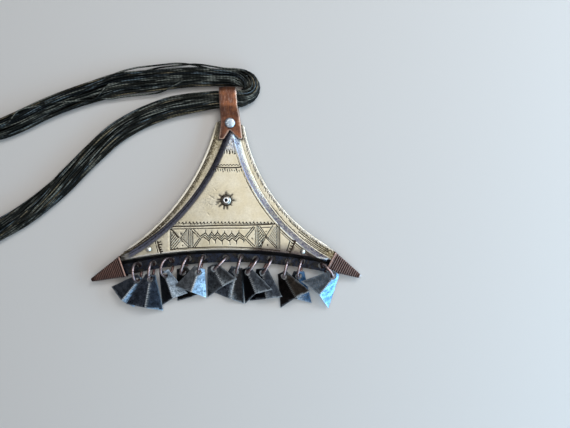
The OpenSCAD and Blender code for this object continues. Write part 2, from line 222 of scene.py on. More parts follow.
def silver():
    """Pale warm silver; the marks are dark in the cuts, and oxidised on the panel's sloped walls."""
    p = Paint("silver_sheet")
    cloud = p.noise(0.16, 4, 0.6)
    fine = p.noise(1.6, 4, 0.65)
    brush = p.noise(1.0, 3, 0.6, p.scaled(0.35, 2.6, 1, 20))
    base = p.mix(p.level(cloud, 0.30, 0.72), (0.76, 0.70, 0.53), (0.91, 0.86, 0.71))
    base = p.mix(p.level(fine, 0.48, 0.80, 0, 0.40), base, (0.57, 0.52, 0.39))
    base = p.mix(p.level(brush, 0.58, 0.78, 0, 0.22), base, (0.96, 0.94, 0.88))
    # Dirt in blotches on the panel, and painted shade on the panel along its left edge.
    grime_and_shade = p.sum("MULTIPLY", p.mark("grime_and_shade"), p.level(p.noise(1.2, 5, 0.75), 0.46, 0.60), True)
    base = p.mix(grime_and_shade, base, (0.36, 0.35, 0.30))
    # The sloped walls get painted shade and painted reflections: dark blue-grey on the left wall, pale lavender on the
    # right, their lightness set by the sheen mark.
    sheen = p.sum("ADD", p.mark("sheen"), p.level(p.noise(0.8, 4, 0.65), 0.34, 0.66, -0.16, 0.16), True)
    shade_reflection_colour = p.mix(sheen, (0.030, 0.031, 0.056), (0.42, 0.44, 0.60))
    left_wall_mask = p.sum("MULTIPLY", p.mark("blue"), 1.0, True)
    base = p.mix(left_wall_mask, base, shade_reflection_colour)
    pale = p.sum("MULTIPLY", p.mark("lavender"), p.level(p.noise(0.9, 4, 0.6), 0.34, 0.66, 0.60, 1.0), True)
    base = p.mix(pale, base, p.mix(sheen, (0.055, 0.048, 0.095), (0.33, 0.32, 0.47)))
    olive = p.sum("MULTIPLY", p.mark("olive"), p.level(p.noise(1.1, 5, 0.7), 0.34, 0.60, 0.42, 1.15), True)
    base = p.mix(olive, base, (0.135, 0.110, 0.058))
    # Pale marks: painted highlights along rounded edges, rims and folds, with some wear.
    wear_and_highlight = p.sum("MULTIPLY", p.mark("wear_and_highlight"), p.level(fine, 0.25, 0.60, 0.65, 1.0), True)
    base = p.mix(wear_and_highlight, base, (0.99, 0.98, 0.95))
    bright = p.sum("MULTIPLY", p.mark("apex"), p.level(p.noise(0.9, 4, 0.65), 0.36, 0.52), True)
    base = p.mix(bright, base, (0.74, 0.84, 0.98))
    spot = p.sum("MULTIPLY", p.mark("apex"), p.level(p.noise(0.55, 5, 0.72, None, 0.5), 0.47, 0.56, 0.0, 0.80), True)
    base = p.mix(spot, base, (0.24, 0.24, 0.33))
    spot = p.sum("MULTIPLY", p.mark("apex"), p.level(p.noise(1.3, 4, 0.7, p.scaled(1.3, 0.8, 1, 35), 0.5), 0.54, 0.60, 0.0, 0.85), True)
    base = p.mix(spot, base, (0.045, 0.045, 0.070))
    glint = p.sum("MULTIPLY", p.mark("glint"), p.level(p.noise(1.5, 3, 0.6), 0.52, 0.60), True)
    base = p.mix(glint, base, (0.97, 0.98, 1.0))
    # Darker towards the lower edge of the panel's right half, and in the frieze's fine-cut fields, which hold dirt.
    base = p.mix(p.sum("MULTIPLY", p.mark("darkened"), p.level(p.noise(0.6, 4, 0.6), 0.30, 0.66, 0.84, 1.0), True), base, (0.060, 0.047, 0.058))
    # Near black: painted shade on the lower wall, painted shadow round the bail's tails and to its left, and dark
    # joints round the studs.
    base = p.mix(p.mark("shade_and_joints"), base, (0.016, 0.015, 0.019))
    line = p.sum("MULTIPLY", p.mark("cut"), 3.2, True)
    base = p.mix(line, base, (0.040, 0.023, 0.011))
    rough = p.sum("ADD", p.level(cloud, 0.3, 0.7, 0.34, 0.44), p.sum("MULTIPLY", line, 0.25))
    p.set(Base_Color=base, Metallic=p.sum("SUBTRACT", 0.93, p.sum("MULTIPLY", line, 0.4)), Roughness=rough)
    p.bump(p.sum("ADD", p.noise(2.4, 4, 0.6), p.sum("MULTIPLY", brush, 0.6)), 0.35, 0.00006)
    return p.mat


def dark_plate():
    p = Paint("dark_plate")
    big = p.noise(0.5, 4, 0.65)
    fine = p.noise(3.2, 5, 0.7)
    base = p.mix(p.level(big, 0.35, 0.66), (0.006, 0.007, 0.010), (0.025, 0.028, 0.038))
    base = p.mix(p.level(p.noise(0.23, 4, 0.7), 0.46, 0.58, 0, 0.80), base, (0.026, 0.038, 0.072))
    base = p.mix(p.level(fine, 0.52, 0.72, 0, 0.60), base, (0.100, 0.104, 0.106))
    base = p.mix(p.level(p.noise(0.42, 4, 0.65, None, 0.4), 0.54, 0.63, 0, 0.60), base, (0.062, 0.052, 0.030))
    base = p.mix(p.level(p.noise(1.0, 3, 0.6), 0.55, 0.64, 0, 0.85), base, (0.006, 0.005, 0.007))
    p.set(Base_Color=base, Metallic=0.85, Roughness=p.level(fine, 0.3, 0.7, 0.34, 0.55))
    p.bump(fine, 0.5, 0.00012)
    return p.mat


def copper(name, dark, mid, light, wear_and_highlight, rough, spread=0.5, grain=2.2, streak=0.0):
    """Copper with brown tarnish. The cut mark darkens it: painted shade in recesses and on sides away from the light,
    and dark oxide rings. The other mark brightens it: painted highlights on crests and lit edges, with some wear.
    """
    p = Paint(name)
    big = p.noise(spread, 4, 0.6)
    fine = p.noise(grain, 5, 0.65)
    base = p.mix(p.level(big, 0.34, 0.66), mid, light)
    base = p.mix(p.level(fine, 0.52, 0.80, 0, 0.75), base, dark)
    if streak:
        drawn = p.noise(1.0, 4, 0.7, p.scaled(1.9, 0.28, 0.28, 4))
        base = p.mix(p.level(drawn, 0.50, 0.66, 0, streak), base, dark)
        base = p.mix(p.level(drawn, 0.46, 0.34, 0, streak * 0.45), base, wear_and_highlight)
    base = p.mix(p.mark("cut"), base, dark)
    base = p.mix(p.sum("MULTIPLY", p.mark("wear_and_highlight"), p.level(fine, 0.25, 0.6, 0.6, 1.0), True), base, wear_and_highlight)
    base = p.mix(p.mark("tin"), base, (0.78, 0.80, 0.84))
    p.set(Base_Color=base, Metallic=0.9, Roughness=p.level(fine, 0.3, 0.7, rough, rough + 0.14))
    p.bump(fine, 0.35, 0.00010)
    return p.mat


def rivet_silver(name, dull, bright, spotted):
    p = Paint(name)
    big = p.noise(0.9, 4, 0.7)
    base = p.mix(p.level(big, 0.40, 0.60), dull, bright)
    base = p.mix(p.level(p.noise(2.2, 4, 0.7), 0.66 - spotted * 0.14, 0.74 - spotted * 0.14, 0, 0.75), base, (0.16, 0.20, 0.26))
    base = p.mix(p.mark("wear_and_highlight"), base, (0.97, 0.97, 0.97))
    base = p.mix(p.mark("cut"), base, (0.010, 0.010, 0.011))
    p.set(Base_Color=base, Metallic=0.9, Roughness=0.30 + 0.12 * spotted)
    p.bump(p.noise(1.8, 4, 0.6), 0.5, 0.00012)
    return p.mat


def blued(name, left, right, shift):
    """Thin oxidised sheet: mottled dark blue-grey, with painted light and shade on each face and painted highlights
    along its edges and its fold, with some wear at the edges.
    """
    p = Paint(name)
    move = p.t.nodes.new("ShaderNodeMapping")
    move.inputs["Location"].default_value = (shift * 7.3, shift * 3.1, shift * 1.7)
    p.t.links.new(p.mm, move.inputs["Vector"])
    v = move.outputs["Vector"]
    big = p.noise(0.42, 5, 0.65, v)
    fine = p.noise(1.9, 5, 0.7, v)
    side = p.level(p.mark("side"), 0.44, 0.56)
    deep = p.mix(side, tuple(c * 0.55 for c in left), tuple(c * 0.55 for c in right))
    pale = p.mix(side, tuple(c * 1.5 for c in left), tuple(c * 1.5 for c in right))
    base = p.mix(p.level(big, 0.36, 0.64), deep, pale)
    base = p.mix(p.level(fine, 0.48, 0.70, 0, 0.70), base, deep)
    base = p.mix(p.level(p.noise(1.1, 3, 0.6, v), 0.565, 0.64, 0, 0.85), base, tuple(c * 0.16 for c in right))
    base = p.mix(p.level(p.noise(2.3, 3, 0.6, v), 0.60, 0.68, 0, 0.70), base, tuple(c * 0.22 for c in right))
    base = p.mix(p.level(p.noise(0.7, 4, 0.7, v), 0.58, 0.70, 0, 0.55), base, p.mix(side, tuple(c * 2.4 for c in left), tuple(min(0.9, c * 2.4) for c in right)))
    base = p.mix(p.sum("MULTIPLY", p.mark("glow"), p.level(p.noise(1.5, 4, 0.7, v), 0.40, 0.60, 0.05, 1.0), True), base, (0.66, 0.80, 0.92))
    base = p.mix(p.sum("MULTIPLY", p.mark("wear_and_highlight"), p.level(fine, 0.30, 0.62, 0.35, 1.0), True), base, (0.58, 0.67, 0.76))
    base = p.mix(p.mark("bead"), base, (0.86, 0.93, 0.98))
    p.set(Base_Color=base, Metallic=0.92, Roughness=p.level(fine, 0.3, 0.7, 0.30, 0.48))
    p.bump(p.sum("ADD", fine, p.sum("MULTIPLY", big, 0.5)), 0.40, 0.00012)
    return p.mat


def waxed():
    """Black waxed two-ply strand, with a paler greenish-grey painted highlight in dashes along the top of each strand.
    """
    p = Paint("waxed_cord")
    uv = p.t.nodes.new("ShaderNodeUVMap")
    uv.uv_map = "strand"
    split = p.t.nodes.new("ShaderNodeSeparateXYZ")
    p.t.links.new(uv.outputs["UV"], split.inputs["Vector"])
    along, around = split.outputs["X"], split.outputs["Y"]
    phase = p.sum("ADD", p.sum("MULTIPLY", along, PI2 / 1.6), p.sum("MULTIPLY", around, 2 * PI2))
    ply = p.sum("SINE", phase)
    joined = p.t.nodes.new("ShaderNodeCombineXYZ")
    p.put(joined.inputs["X"], p.sum("MULTIPLY", along, 0.09))
    p.put(joined.inputs["Y"], p.sum("MULTIPLY", around, 0.5))
    p.put(joined.inputs["Z"], p.sum("MULTIPLY", p.mark("tone"), 37.0))
    patch = p.noise(1.0, 3, 0.6, joined.outputs["Vector"])
    tone = p.mark("tone")
    base = p.mix(tone, (0.0022, 0.0026, 0.0030), (0.0075, 0.0090, 0.0085))
    highlight_tint = p.mix(p.level(tone, 0.22, 0.40), (0.125, 0.180, 0.212), (0.245, 0.265, 0.228))
    highlight_tint = p.mix(p.level(tone, 0.84, 0.90), highlight_tint, (0.260, 0.215, 0.125))
    # painted highlight: thin dashes along the top of each strand, tinted per strand
    crest = p.level(p.sum("ABSOLUTE", p.sum("SUBTRACT", around, 0.25)), 0.15, 0.03)
    dash = p.sum("MULTIPLY", crest, p.level(ply, -0.7, 0.7, 0.45, 1.0))
    painted_highlight = p.sum("MULTIPLY", dash, p.level(patch, 0.47, 0.64, 0.06, 1.0), True)
    base = p.mix(painted_highlight, base, highlight_tint)
    p.set(Base_Color=base, Roughness=p.level(patch, 0.3, 0.7, 0.42, 0.32), Metallic=0.0,
          Specular_IOR_Level=p.level(patch, 0.42, 0.64, 0.05, 0.45))
    p.bump(ply, 0.25, 0.00010)
    return p.mat


SILVER = silver()
PLATE = dark_plate()
CAP_COPPER = copper("brown_copper", (0.006, 0.004, 0.005), (0.046, 0.024, 0.021), (0.085, 0.042, 0.033), (0.46, 0.31, 0.27), 0.34)
BAIL_COPPER = copper("orange_copper", (0.048, 0.025, 0.021), (0.170, 0.074, 0.050), (0.320, 0.127, 0.062), (0.92, 0.80, 0.72), 0.32, 0.34, 1.7, 0.35)
RING_COPPER = copper("ring_copper", (0.028, 0.016, 0.015), (0.125, 0.070, 0.063), (0.21, 0.125, 0.112), (0.66, 0.52, 0.52), 0.25, 0.8, 2.6)
RIVET_SILVER = rivet_silver("rivet_silver", (0.50, 0.58, 0.66), (0.88, 0.93, 0.96), 0.0)
STUD_SILVER = rivet_silver("stud_silver", (0.60, 0.58, 0.50), (0.92, 0.90, 0.84), 0.3)
RIVET_FACE = rivet_silver("rivet_mottled", (0.38, 0.48, 0.60), (0.78, 0.88, 0.96), 1.0)
DOME_SILVER = rivet_silver("dome_silver", (0.56, 0.50, 0.44), (0.99, 0.86, 0.70), 0.0)
CORD = waxed()
# each flag's colours for its left and right face: a dark oxide tone with painted light and shade per face, bright blue
# on faces tilted towards the window lamps
FLAG_TONE_AND_FACE_LIGHT = [((0.064, 0.074, 0.092), (0.190, 0.290, 0.420)), ((0.084, 0.100, 0.132), (0.024, 0.027, 0.036)),
              ((0.030, 0.034, 0.042), (0.165, 0.215, 0.280)), ((0.006, 0.006, 0.006), (0.008, 0.008, 0.007)),
              ((0.082, 0.090, 0.102), (0.268, 0.330, 0.405)), ((0.140, 0.152, 0.160), (0.024, 0.027, 0.032)),
              ((0.130, 0.152, 0.190), (0.018, 0.018, 0.020)), ((0.005, 0.005, 0.007), (0.030, 0.036, 0.046)),
              ((0.004, 0.004, 0.006), (0.030, 0.037, 0.050)), ((0.018, 0.013, 0.012), (0.013, 0.010, 0.008)),
              ((0.018, 0.020, 0.026), (0.050, 0.130, 0.270)), ((0.062, 0.077, 0.096), (0.190, 0.370, 0.600))]
# how bright the beaded painted highlight along each flag's fold is
CREASE_HIGHLIGHT = [1.0, 0.85, 0.8, 0.0, 0.9, 0.9, 1.0, 0.7, 0.5, 0.20, 0.5, 0.9]
# how bright the painted highlight at the fold's lower end is on its right side, and over what distance in mm
FOLD_HIGHLIGHT = [(0.80, 3.2), (0.0, 1.0), (0.62, 4.0), (0.0, 1.0), (0.10, 5.0), (0.30, 2.0), (0.45, 1.8), (0.18, 2.2), (0.14, 2.2), (0.0, 1.0), (0.70, 2.4), (0.0, 5.0)]
BLUED = [blued(f"blued_sheet_{i + 1:02d}", a, b, i + 1.0) for i, (a, b) in enumerate(FLAG_TONE_AND_FACE_LIGHT)]


# ---- mesh helpers -----------------------------------------------------------------------------

def piece(name, points, faces, mat, stands_for=(), marks=None, sharp=32.0, uv=None):
    """One mesh from points in mm, riding on the body, standing for those CAD nodes."""
    mesh = bpy.data.meshes.new(name)
    mesh.from_pydata([tuple(float(c) * MM for c in p) for p in points], [], [list(map(int, f)) for f in faces])
    for key, values in (marks or {}).items():
        a = mesh.attributes.new(key, "FLOAT", "POINT")
        a.data.foreach_set("value", np.asarray(values, np.float32))
    if uv is not None:
        layer = mesh.uv_layers.new(name="strand")
        layer.data.foreach_set("uv", np.asarray(uv, np.float32).ravel())
    mesh.update()
    mesh.polygons.foreach_set("use_smooth", [True] * len(mesh.polygons))
    if sharp:
        mesh.set_sharp_from_angle(angle=math.radians(sharp))
    mesh.materials.append(mat)
    o = bpy.data.objects.new(name, mesh)
    scene.collection.objects.link(o)
    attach(o, "root")
    if stands_for:
        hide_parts(*stands_for)
    return o


def distances(points, segs):
    """For each point, its distance to each segment and how far along it lies. segs rows: x0 y0 x1 y1 ..."""
    a, b = segs[:, 0:2], segs[:, 2:4]
    d = b - a
    l2 = np.maximum((d ** 2).sum(1), 1e-12)
    t = ((points[:, None, :] - a[None]) * d[None]).sum(2) / l2[None]
    t = np.clip(t, 0, 1)
    q = a[None] + t[..., None] * d[None]
    return np.linalg.norm(points[:, None, :] - q, axis=2), t


def nearest(points, segs):
    best = np.full(len(points), 1e9)
    for k in range(0, len(points), 2000):
        best[k:k + 2000] = distances(points[k:k + 2000], segs)[0].min(1)
    return best


def polyline(pts, step=1.0, closed=False):
    """Segments along a line of points, each cut to at most step long."""
    out = []
    pts = list(pts) + ([pts[0]] if closed else [])
    for a, b in zip(pts[:-1], pts[1:]):
        n = max(1, int(math.ceil(math.dist(a, b) / step)))
        for k in range(n):
            out.append((a[0] + (b[0] - a[0]) * k / n, a[1] + (b[1] - a[1]) * k / n,
                        a[0] + (b[0] - a[0]) * (k + 1) / n, a[1] + (b[1] - a[1]) * (k + 1) / n))
    return out


def arc(c, r, a0, a1, step):
    n = max(2, int(abs(math.radians(a1 - a0)) * r / step))
    return [(c[0] + r * math.cos(math.radians(a0 + (a1 - a0) * k / n)),
             c[1] + r * math.sin(math.radians(a0 + (a1 - a0) * k / n))) for k in range(n + 1)]


def cdt(segs, extra):
    """Triangles over constraint segments and extra points, as (points, triangles)."""
    verts, index, edges = [], {}, []

    def put(x, y):
        key = (round(x, 4), round(y, 4))
        if key not in index:
            index[key] = len(verts)
            verts.append(Vector(key))
        return index[key]

    for s in segs:
        i, j = put(s[0], s[1]), put(s[2], s[3])
        if i != j:
            edges.append((i, j))
    for x, y in extra:
        put(x, y)
    out = delaunay_2d_cdt(verts, edges, [], 0, 1e-5, False)
    return np.array([tuple(v) for v in out[0]]), np.array([f for f in out[2] if len(f) == 3], int)


def lattice(x0, x1, y0, y1, step, shake=0.18, seed=3):
    rng = np.random.default_rng(seed)
    rows = []
    for j, y in enumerate(np.arange(y0, y1, step * 0.866)):
        xs = np.arange(x0 + (step / 2 if j % 2 else 0), x1, step)
        rows.append(np.c_[xs, np.full(len(xs), y)])
    pts = np.concatenate(rows)
    return pts + rng.uniform(-shake, shake, pts.shape) * step


def in_polygon(points, poly):
    x, y = points[:, 0], points[:, 1]
    inside = np.zeros(len(points), bool)
    for (x0, y0), (x1, y1) in zip(poly, poly[1:] + poly[:1]):
        if y0 == y1:
            continue
        hit = ((y0 > y) != (y1 > y)) & (x < (x1 - x0) * (y - y0) / (y1 - y0) + x0)
        inside ^= hit
    return inside


def wobble(points, seed, waves, size):
    """Smooth low unevenness over the plan: a sum of plane waves with those wavelengths in mm."""
    rng = np.random.default_rng(seed)
    out = np.zeros(len(points))
    for w in waves:
        for _ in range(3):
            a, ph = rng.uniform(0, PI2), rng.uniform(0, PI2)
            out += np.sin(PI2 / w * (points[:, 0] * math.cos(a) + points[:, 1] * math.sin(a)) + ph) / 3
    return out / len(waves) * size


def boundary(tris):
    """The edges that only one triangle has, each in that triangle's direction."""
    e = np.concatenate([tris[:, [0, 1]], tris[:, [1, 2]], tris[:, [2, 0]]])
    key = np.sort(e, 1)
    _, first, count = np.unique(key, axis=0, return_index=True, return_counts=True)
    return e[first[count == 1]]


def closed(points3, tris, low3):
    """A closed solid: the upper surface, the same plan below at low3, and a wall between."""
    n = len(points3)
    rim = boundary(tris)
    faces = [tuple(t) for t in tris] + [(t[2] + n, t[1] + n, t[0] + n) for t in tris]
    faces += [(b, a, a + n, b + n) for a, b in rim]
    return np.concatenate([points3, low3]), faces


def smin(a, b, k):
    h = np.clip(k - np.abs(a - b), 0, None) / k
    return np.minimum(a, b) - h * h * k / 4


def smax(a, b, k):
    return -smin(-a, -b, k)


# ---- cord: one closed loop of many thin waxed strands ------------------------------------------

def rounded_route():
    """The route as a smooth closed line: x, y, z, half width at each of its many rows, and its normals."""
    r = np.array(ROUTE, float)
    m, out = len(r), []
    for i in range(m):
        a, b, c, d = r[(i - 1) % m], r[i], r[(i + 1) % m], r[(i + 2) % m]
        n = max(3, int(math.ceil(np.linalg.norm(c[:2] - b[:2]) / 2.6)))
        for k in range(n):
            t = k / n
            out.append(0.5 * (2 * b + (c - a) * t + (2 * a - 5 * b + 4 * c - d) * t * t + (3 * b - a - 3 * c + d) * t ** 3))
    out = np.array(out)
    along = np.roll(out[:, :2], -1, 0) - np.roll(out[:, :2], 1, 0)
    along /= np.linalg.norm(along, axis=1)[:, None]
    return out, np.c_[-along[:, 1], along[:, 0]]


LINE, ACROSS = rounded_route()
steps = np.linalg.norm(np.roll(LINE[:, :3], -1, 0) - LINE[:, :3], axis=1)
CORD_LENGTH = float(steps.sum())
S = np.concatenate([[0], np.cumsum(steps)[:-1]])
turn = S / CORD_LENGTH * PI2
STRAND_R, SIDES = 0.43, 5
rng = np.random.default_rng(11)
slots = [(u, v) for v, us in ((-1.6, np.linspace(-0.72, 0.72, 9)), (-0.8, np.linspace(-0.94, 0.94, 11)), (0.0, np.linspace(-0.99, 0.99, 12)),
                              (0.8, np.linspace(-0.93, 0.93, 11)), (1.6, np.linspace(-0.68, 0.68, 9))) for u in us]
X, Y = LINE[:, 0], LINE[:, 1]


def hump(x, x0, x1, soft):
    """1 between x0 and x1, falling smoothly to 0 over soft on each side."""
    a = np.clip((x - (x0 - soft)) / soft, 0, 1)
    b = np.clip(((x1 + soft) - x) / soft, 0, 1)
    a, b = a * a * (3 - 2 * a), b * b * (3 - 2 * b)
    return a * b


upper = (S > 0.5 * CORD_LENGTH) & (X < 4)
loosened = hump(X, -50, -18, 20) * upper
above = np.where(ACROSS[:, 1] > 0, 1.0, -1.0)
# the bundle turns over as it goes round the bend beside the bail, and back again along the lower run
ds = (S - S[int(np.argmax(X))] + CORD_LENGTH / 2) % CORD_LENGTH - CORD_LENGTH / 2
t = np.clip((ds + 16) / 32, 0, 1)
back = np.clip((ds - 70) / 170, 0, 1)
turned = math.pi * (t * t * (3 - 2 * t) - back * back * (3 - 2 * back))
points, faces, tones, uvs = [], [], [], []
for i, (u0, v0) in enumerate(slots):
    u = np.full(len(S), u0)
    v = np.full(len(S), v0)
    for w in (2, 3, 5, 9, 13):
        u = u + rng.uniform(0.02, 0.085) * np.sin(w * turn + rng.uniform(0, PI2)) * (1.2 if w < 6 else 0.8)
        v = v + rng.uniform(0.04, 0.20) * np.sin(w * turn + rng.uniform(0, PI2))
    swirl = 0.22 * np.sin(turn * 3 + 0.6)
    un, vn = u * np.cos(swirl) - v / 1.7 * np.sin(swirl) * 0.6, v + u * np.sin(swirl) * 0.9
    un, vn = un * np.cos(turned) - vn / 1.75 * np.sin(turned), un * 1.75 * np.sin(turned) + vn * np.cos(turned)
    size = np.sqrt(un ** 2 + (vn / 1.75) ** 2)
    shrink = np.where(size > 1.0, 1.0 / np.maximum(size, 1e-6), 1.0)
    un, vn = un * shrink, vn * shrink
    # in the loosened stretch of the upper run the bundle parts into three locks
    lock = 0.40 * u0 + 0.45 * math.sin(i * 2.4)
    part = 0.40 if lock > 0.22 else 0.24 if lock > -0.22 else 0.04
    un = un * (1 - 0.10 * loosened) + loosened * above * part
    half = LINE[:, 3] - STRAND_R
    off = un * half
    lift = vn * (2.2 - STRAND_R) / 1.75
    tone = rng.uniform(0, 1)
    if i in (30, 31, 46):                          # strays that bow out above and below the upper run
        away, reach = ((8.35, hump(X, -40, -26, 23)), (7.2, hump(X, -30, -18, 20)), (-5.2, hump(X, -56, -36, 20)))[(30, 31, 46).index(i)]
        off = off * (1 - reach * upper) + reach * upper * above * away
        lift = lift * (1 - reach * upper)
        tone = 0.6
    if i == 47:                                    # one that crosses the bundle on top
        cross = hump(X, -98, -66, 10) * upper
        off = off * (1 - cross) + cross * (np.clip((X + 82) / 16, -1, 1) * -4.4)
        lift = lift * (1 - cross) + cross * 1.75
        tone = 0.6
    centre = np.c_[LINE[:, 0] + ACROSS[:, 0] * off, LINE[:, 1] + ACROSS[:, 1] * off, LINE[:, 2] + lift]
    centre[:, 2] = np.maximum(centre[:, 2], STRAND_R + 0.03)
    tangent = np.roll(centre, -1, 0) - np.roll(centre, 1, 0)
    tangent /= np.linalg.norm(tangent, axis=1)[:, None]
    side = np.cross(tangent, [0, 0, 1.0])
    side /= np.linalg.norm(side, axis=1)[:, None]
    up = np.cross(side, tangent)
    first = len(points)
    for k in range(SIDES):
        a = PI2 * k / SIDES
        ring = centre + STRAND_R * (math.cos(a) * side + math.sin(a) * up)
        points.extend(ring)
    m = len(S)
    for k in range(SIDES):
        k2 = (k + 1) % SIDES
        for j in range(m):
            j2 = (j + 1) % m
            faces.append((first + k * m + j, first + k * m + j2, first + k2 * m + j2, first + k2 * m + j))
            s0, s1 = S[j], (S[j2] if j2 else CORD_LENGTH)
            uvs.extend([(s0, k / SIDES), (s1, k / SIDES), (s1, (k + 1) / SIDES), (s0, (k + 1) / SIDES)])
    tones.extend([tone] * (m * SIDES))
strands = piece("cord_strands", points, faces, CORD, ("cord",), {"tone": tones}, None, uvs)
CORD_PATH = [tuple(float(c) * MM for c in p) for p in LINE[:, :3]]
CORD_PATH.append(CORD_PATH[0])


# ---- front shell: flange, sloped walls, raised panel and its engraving -------------------------

def unit(a, b):
    l = math.dist(a, b)
    return ((b[0] - a[0]) / l, (b[1] - a[1]) / l)


def middle(a, b, t=0.5):
    return (a[0] + (b[0] - a[0]) * t, a[1] + (b[1] - a[1]) * t)


def mouth(c, k, back):
    u = unit(c[1], c[0])
    v = unit(middle(c[2], c[3]), middle(c[0], c[1]))
    return (c[0][0] + u[0] * k + v[0] * back, c[0][1] + u[1] * k + v[1] * back)


def corner_foot(c, f):
    return mouth(c, -f * math.dist(c[0], c[1]), 0.15)


def corner_tip(c, f, past):
    m, v = middle(c[2], c[3], f), unit(middle(c[0], c[1]), middle(c[2], c[3]))
    return (m[0] + v[0] * past, m[1] + v[1] * past)


OUTLINE = [mouth(CAP_L, -16, 0.15), mouth(CAP_R, -14, 0.15), corner_foot(CAP_R, 0.90), corner_tip(CAP_R, 0.66, 0.5),
           corner_tip(CAP_R, 0.34, 0.5), corner_foot(CAP_R, 0.10), mouth(CAP_R, 6, 0.15), (20, 20), (8.5, 35.8),
           (5.4, 37.9), (5.4, 42.0), (-2.4, 42.0), (-2.4, 38.7), (-5.1, 37.6), (-18, 22), mouth(CAP_L, 6, 0.15),
           corner_foot(CAP_L, 0.10), corner_tip(CAP_L, 0.34, 0.5), corner_tip(CAP_L, 0.66, 0.5), corner_foot(CAP_L, 0.90)]
CUT_L = [(-45.4, -21.2), (-51.6, -26.9), (-60, -30), (-60, -12), (-45.4, -12)]
CUT_R = [(47.0, -20.8), (52.8, -25.1), (60, -28), (60, -12), (47.0, -12)]


def bail_plan(g):
    return [(-3.6 - g, 56), (-3.0 - g, 45), (-2.7 - g, 36.6), (-3.7 - g, 29.4 - g), (-1.3 + g, 29.4 - g),
            (1.7, 33.9 - g * 1.6), (5.7 - g, 29.7 - g), (7.8 + g, 29.6 - g), (6.9 + g, 37.4), (5.6 + g, 45), (4.8 + g, 56)]


def beyond(points, c):
    """How far outside the circle each point lies, in mm."""
    return np.hypot(points[:, 0] - c[0], points[:, 1] - c[1]) - c[2]


FOOT_LOW = (PANEL_LOW[0], PANEL_LOW[1], PANEL_LOW[2] - RUN_LOW)


def in_shell(p):
    keep = in_polygon(p, OUTLINE)
    for c in (EDGE_L, EDGE_R, FOOT_LOW):
        keep &= beyond(p, c) > 0
    return keep & ~in_polygon(p, CUT_L) & ~in_polygon(p, CUT_R)


# engraving: rows of x0, y0, x1, y1, half width at each end, depth, darkness; all in mm
cuts = []


def cut(pts, half=0.26, depth=0.13, dark=0.9, end=None, z=PANEL_Z, closed_line=False):
    pts = [at(x, y, z) for x, y in pts]
    if closed_line:
        pts = pts + pts[:1]
    n = len(pts) - 1
    for k, (a, b) in enumerate(zip(pts[:-1], pts[1:])):
        h0 = half if end is None else half + (end - half) * k / n
        h1 = half if end is None else half + (end - half) * (k + 1) / n
        cuts.append((*a, *b, h0, h1, depth, dark))


def cut_mm(pts, half, depth, dark):
    for a, b in zip(pts[:-1], pts[1:]):
        cuts.append((*a, *b, half, half, depth, dark))


def hatch(poly, angle, pitch, half=0.13, depth=0.08, dark=0.75):
    """Parallel cuts across a polygon given in picture points."""
    ca, sa = math.cos(math.radians(angle)), math.sin(math.radians(angle))
    offs = [-x * sa + y * ca for x, y in poly]
    o = math.floor(min(offs) / pitch) * pitch + pitch * 0.5
    while o < max(offs):
        hits = []
        for (x0, y0), (x1, y1) in zip(poly, poly[1:] + poly[:1]):
            a, b = -x0 * sa + y0 * ca - o, -x1 * sa + y1 * ca - o
            if a * b < 0:
                t = a / (a - b)
                hits.append((x0 + (x1 - x0) * t, y0 + (y1 - y0) * t))
        if len(hits) == 2 and math.dist(*hits) > 0.9:
            cut([middle(*hits, 0.05), middle(*hits, 0.95)], half, depth, dark)
        o += pitch


# the short stamped row and the narrow band near the apex
for x, h, d in ((224.6, 0.14, 0.6), (226.7, 0.28, 1.0), (229.5, 0.30, 1.0), (232.3, 0.28, 1.0), (234.5, 0.18, 0.8), (236.6, 0.14, 0.5)):
    cut([(x, 151.4), (x + 0.2, 152.8)], h, 0.13, d)
for x, y in ((228.0, 149.6), (230.2, 149.3), (231.8, 149.9)):
    cut([(x, y), (x + 0.3, y)], 0.14, 0.09, 0.7)
wave = [(216.4 + k * 1.55, 165.5 - (1.1 if k % 2 else 0.0)) for k in range(16)]
cut(wave, 0.16, 0.10, 0.85)
cut([(215.4, 166.7), (222, 167.5), (229, 167.8), (235, 167.6), (240.6, 167.1)], 0.28, 0.14, 1.0)
for k in range(13):
    x, y = 213.4 + k * 2.33, 169.1 + 0.9 * math.sin(k * 0.19)
    cut([(x - 0.2, y), (x + 0.2, y + 1.3)], 0.25, 0.14, 1.0, 0.14)

# the teeth and the double line above the frieze
for k in range(27):
    x = 178.6 + k * 3.56
    y = 223.3 - 0.9 * math.sin(math.pi * (x - 172) / 104) * 0.3
    cut([(x - 1.9, y + 0.55), (x - 0.7, y + 0.35), (x + 0.2, y - 1.1)], 0.09, 0.07, 0.55, 0.20)
    cut([(x + 0.25, y - 1.2), (x + 0.75, y + 0.35)], 0.22, 0.13, 0.80, 0.30)
cut([(172.6, 226.5), (186, 226.4), (201, 226.1), (213, 225.6), (222, 225.3), (244, 225.2), (256, 224.9), (266, 224.5), (275.4, 223.9)], 0.30, 0.14, 0.85)
cut([(173.6, 229.1), (203, 228.6), (225, 228.2), (244, 228.3), (253.6, 227.9)], 0.20, 0.09, 0.65)
cut([(260.8, 227.7), (270.4, 227.3)], 0.20, 0.09, 0.6)
# the long double line along the lower edge
low = [(170.6, 249.9), (178, 248.5), (190, 247.9), (201.5, 247.4), (213, 247.1), (225, 247.0), (236, 247.2), (247, 247.7), (258, 248.5), (268, 249.5), (279, 250.8)]
cut(low, 0.24, 0.12, 0.9)
cut([(x, y + 1.25) for x, y in low[1:-1]], 0.12, 0.06, 0.5)

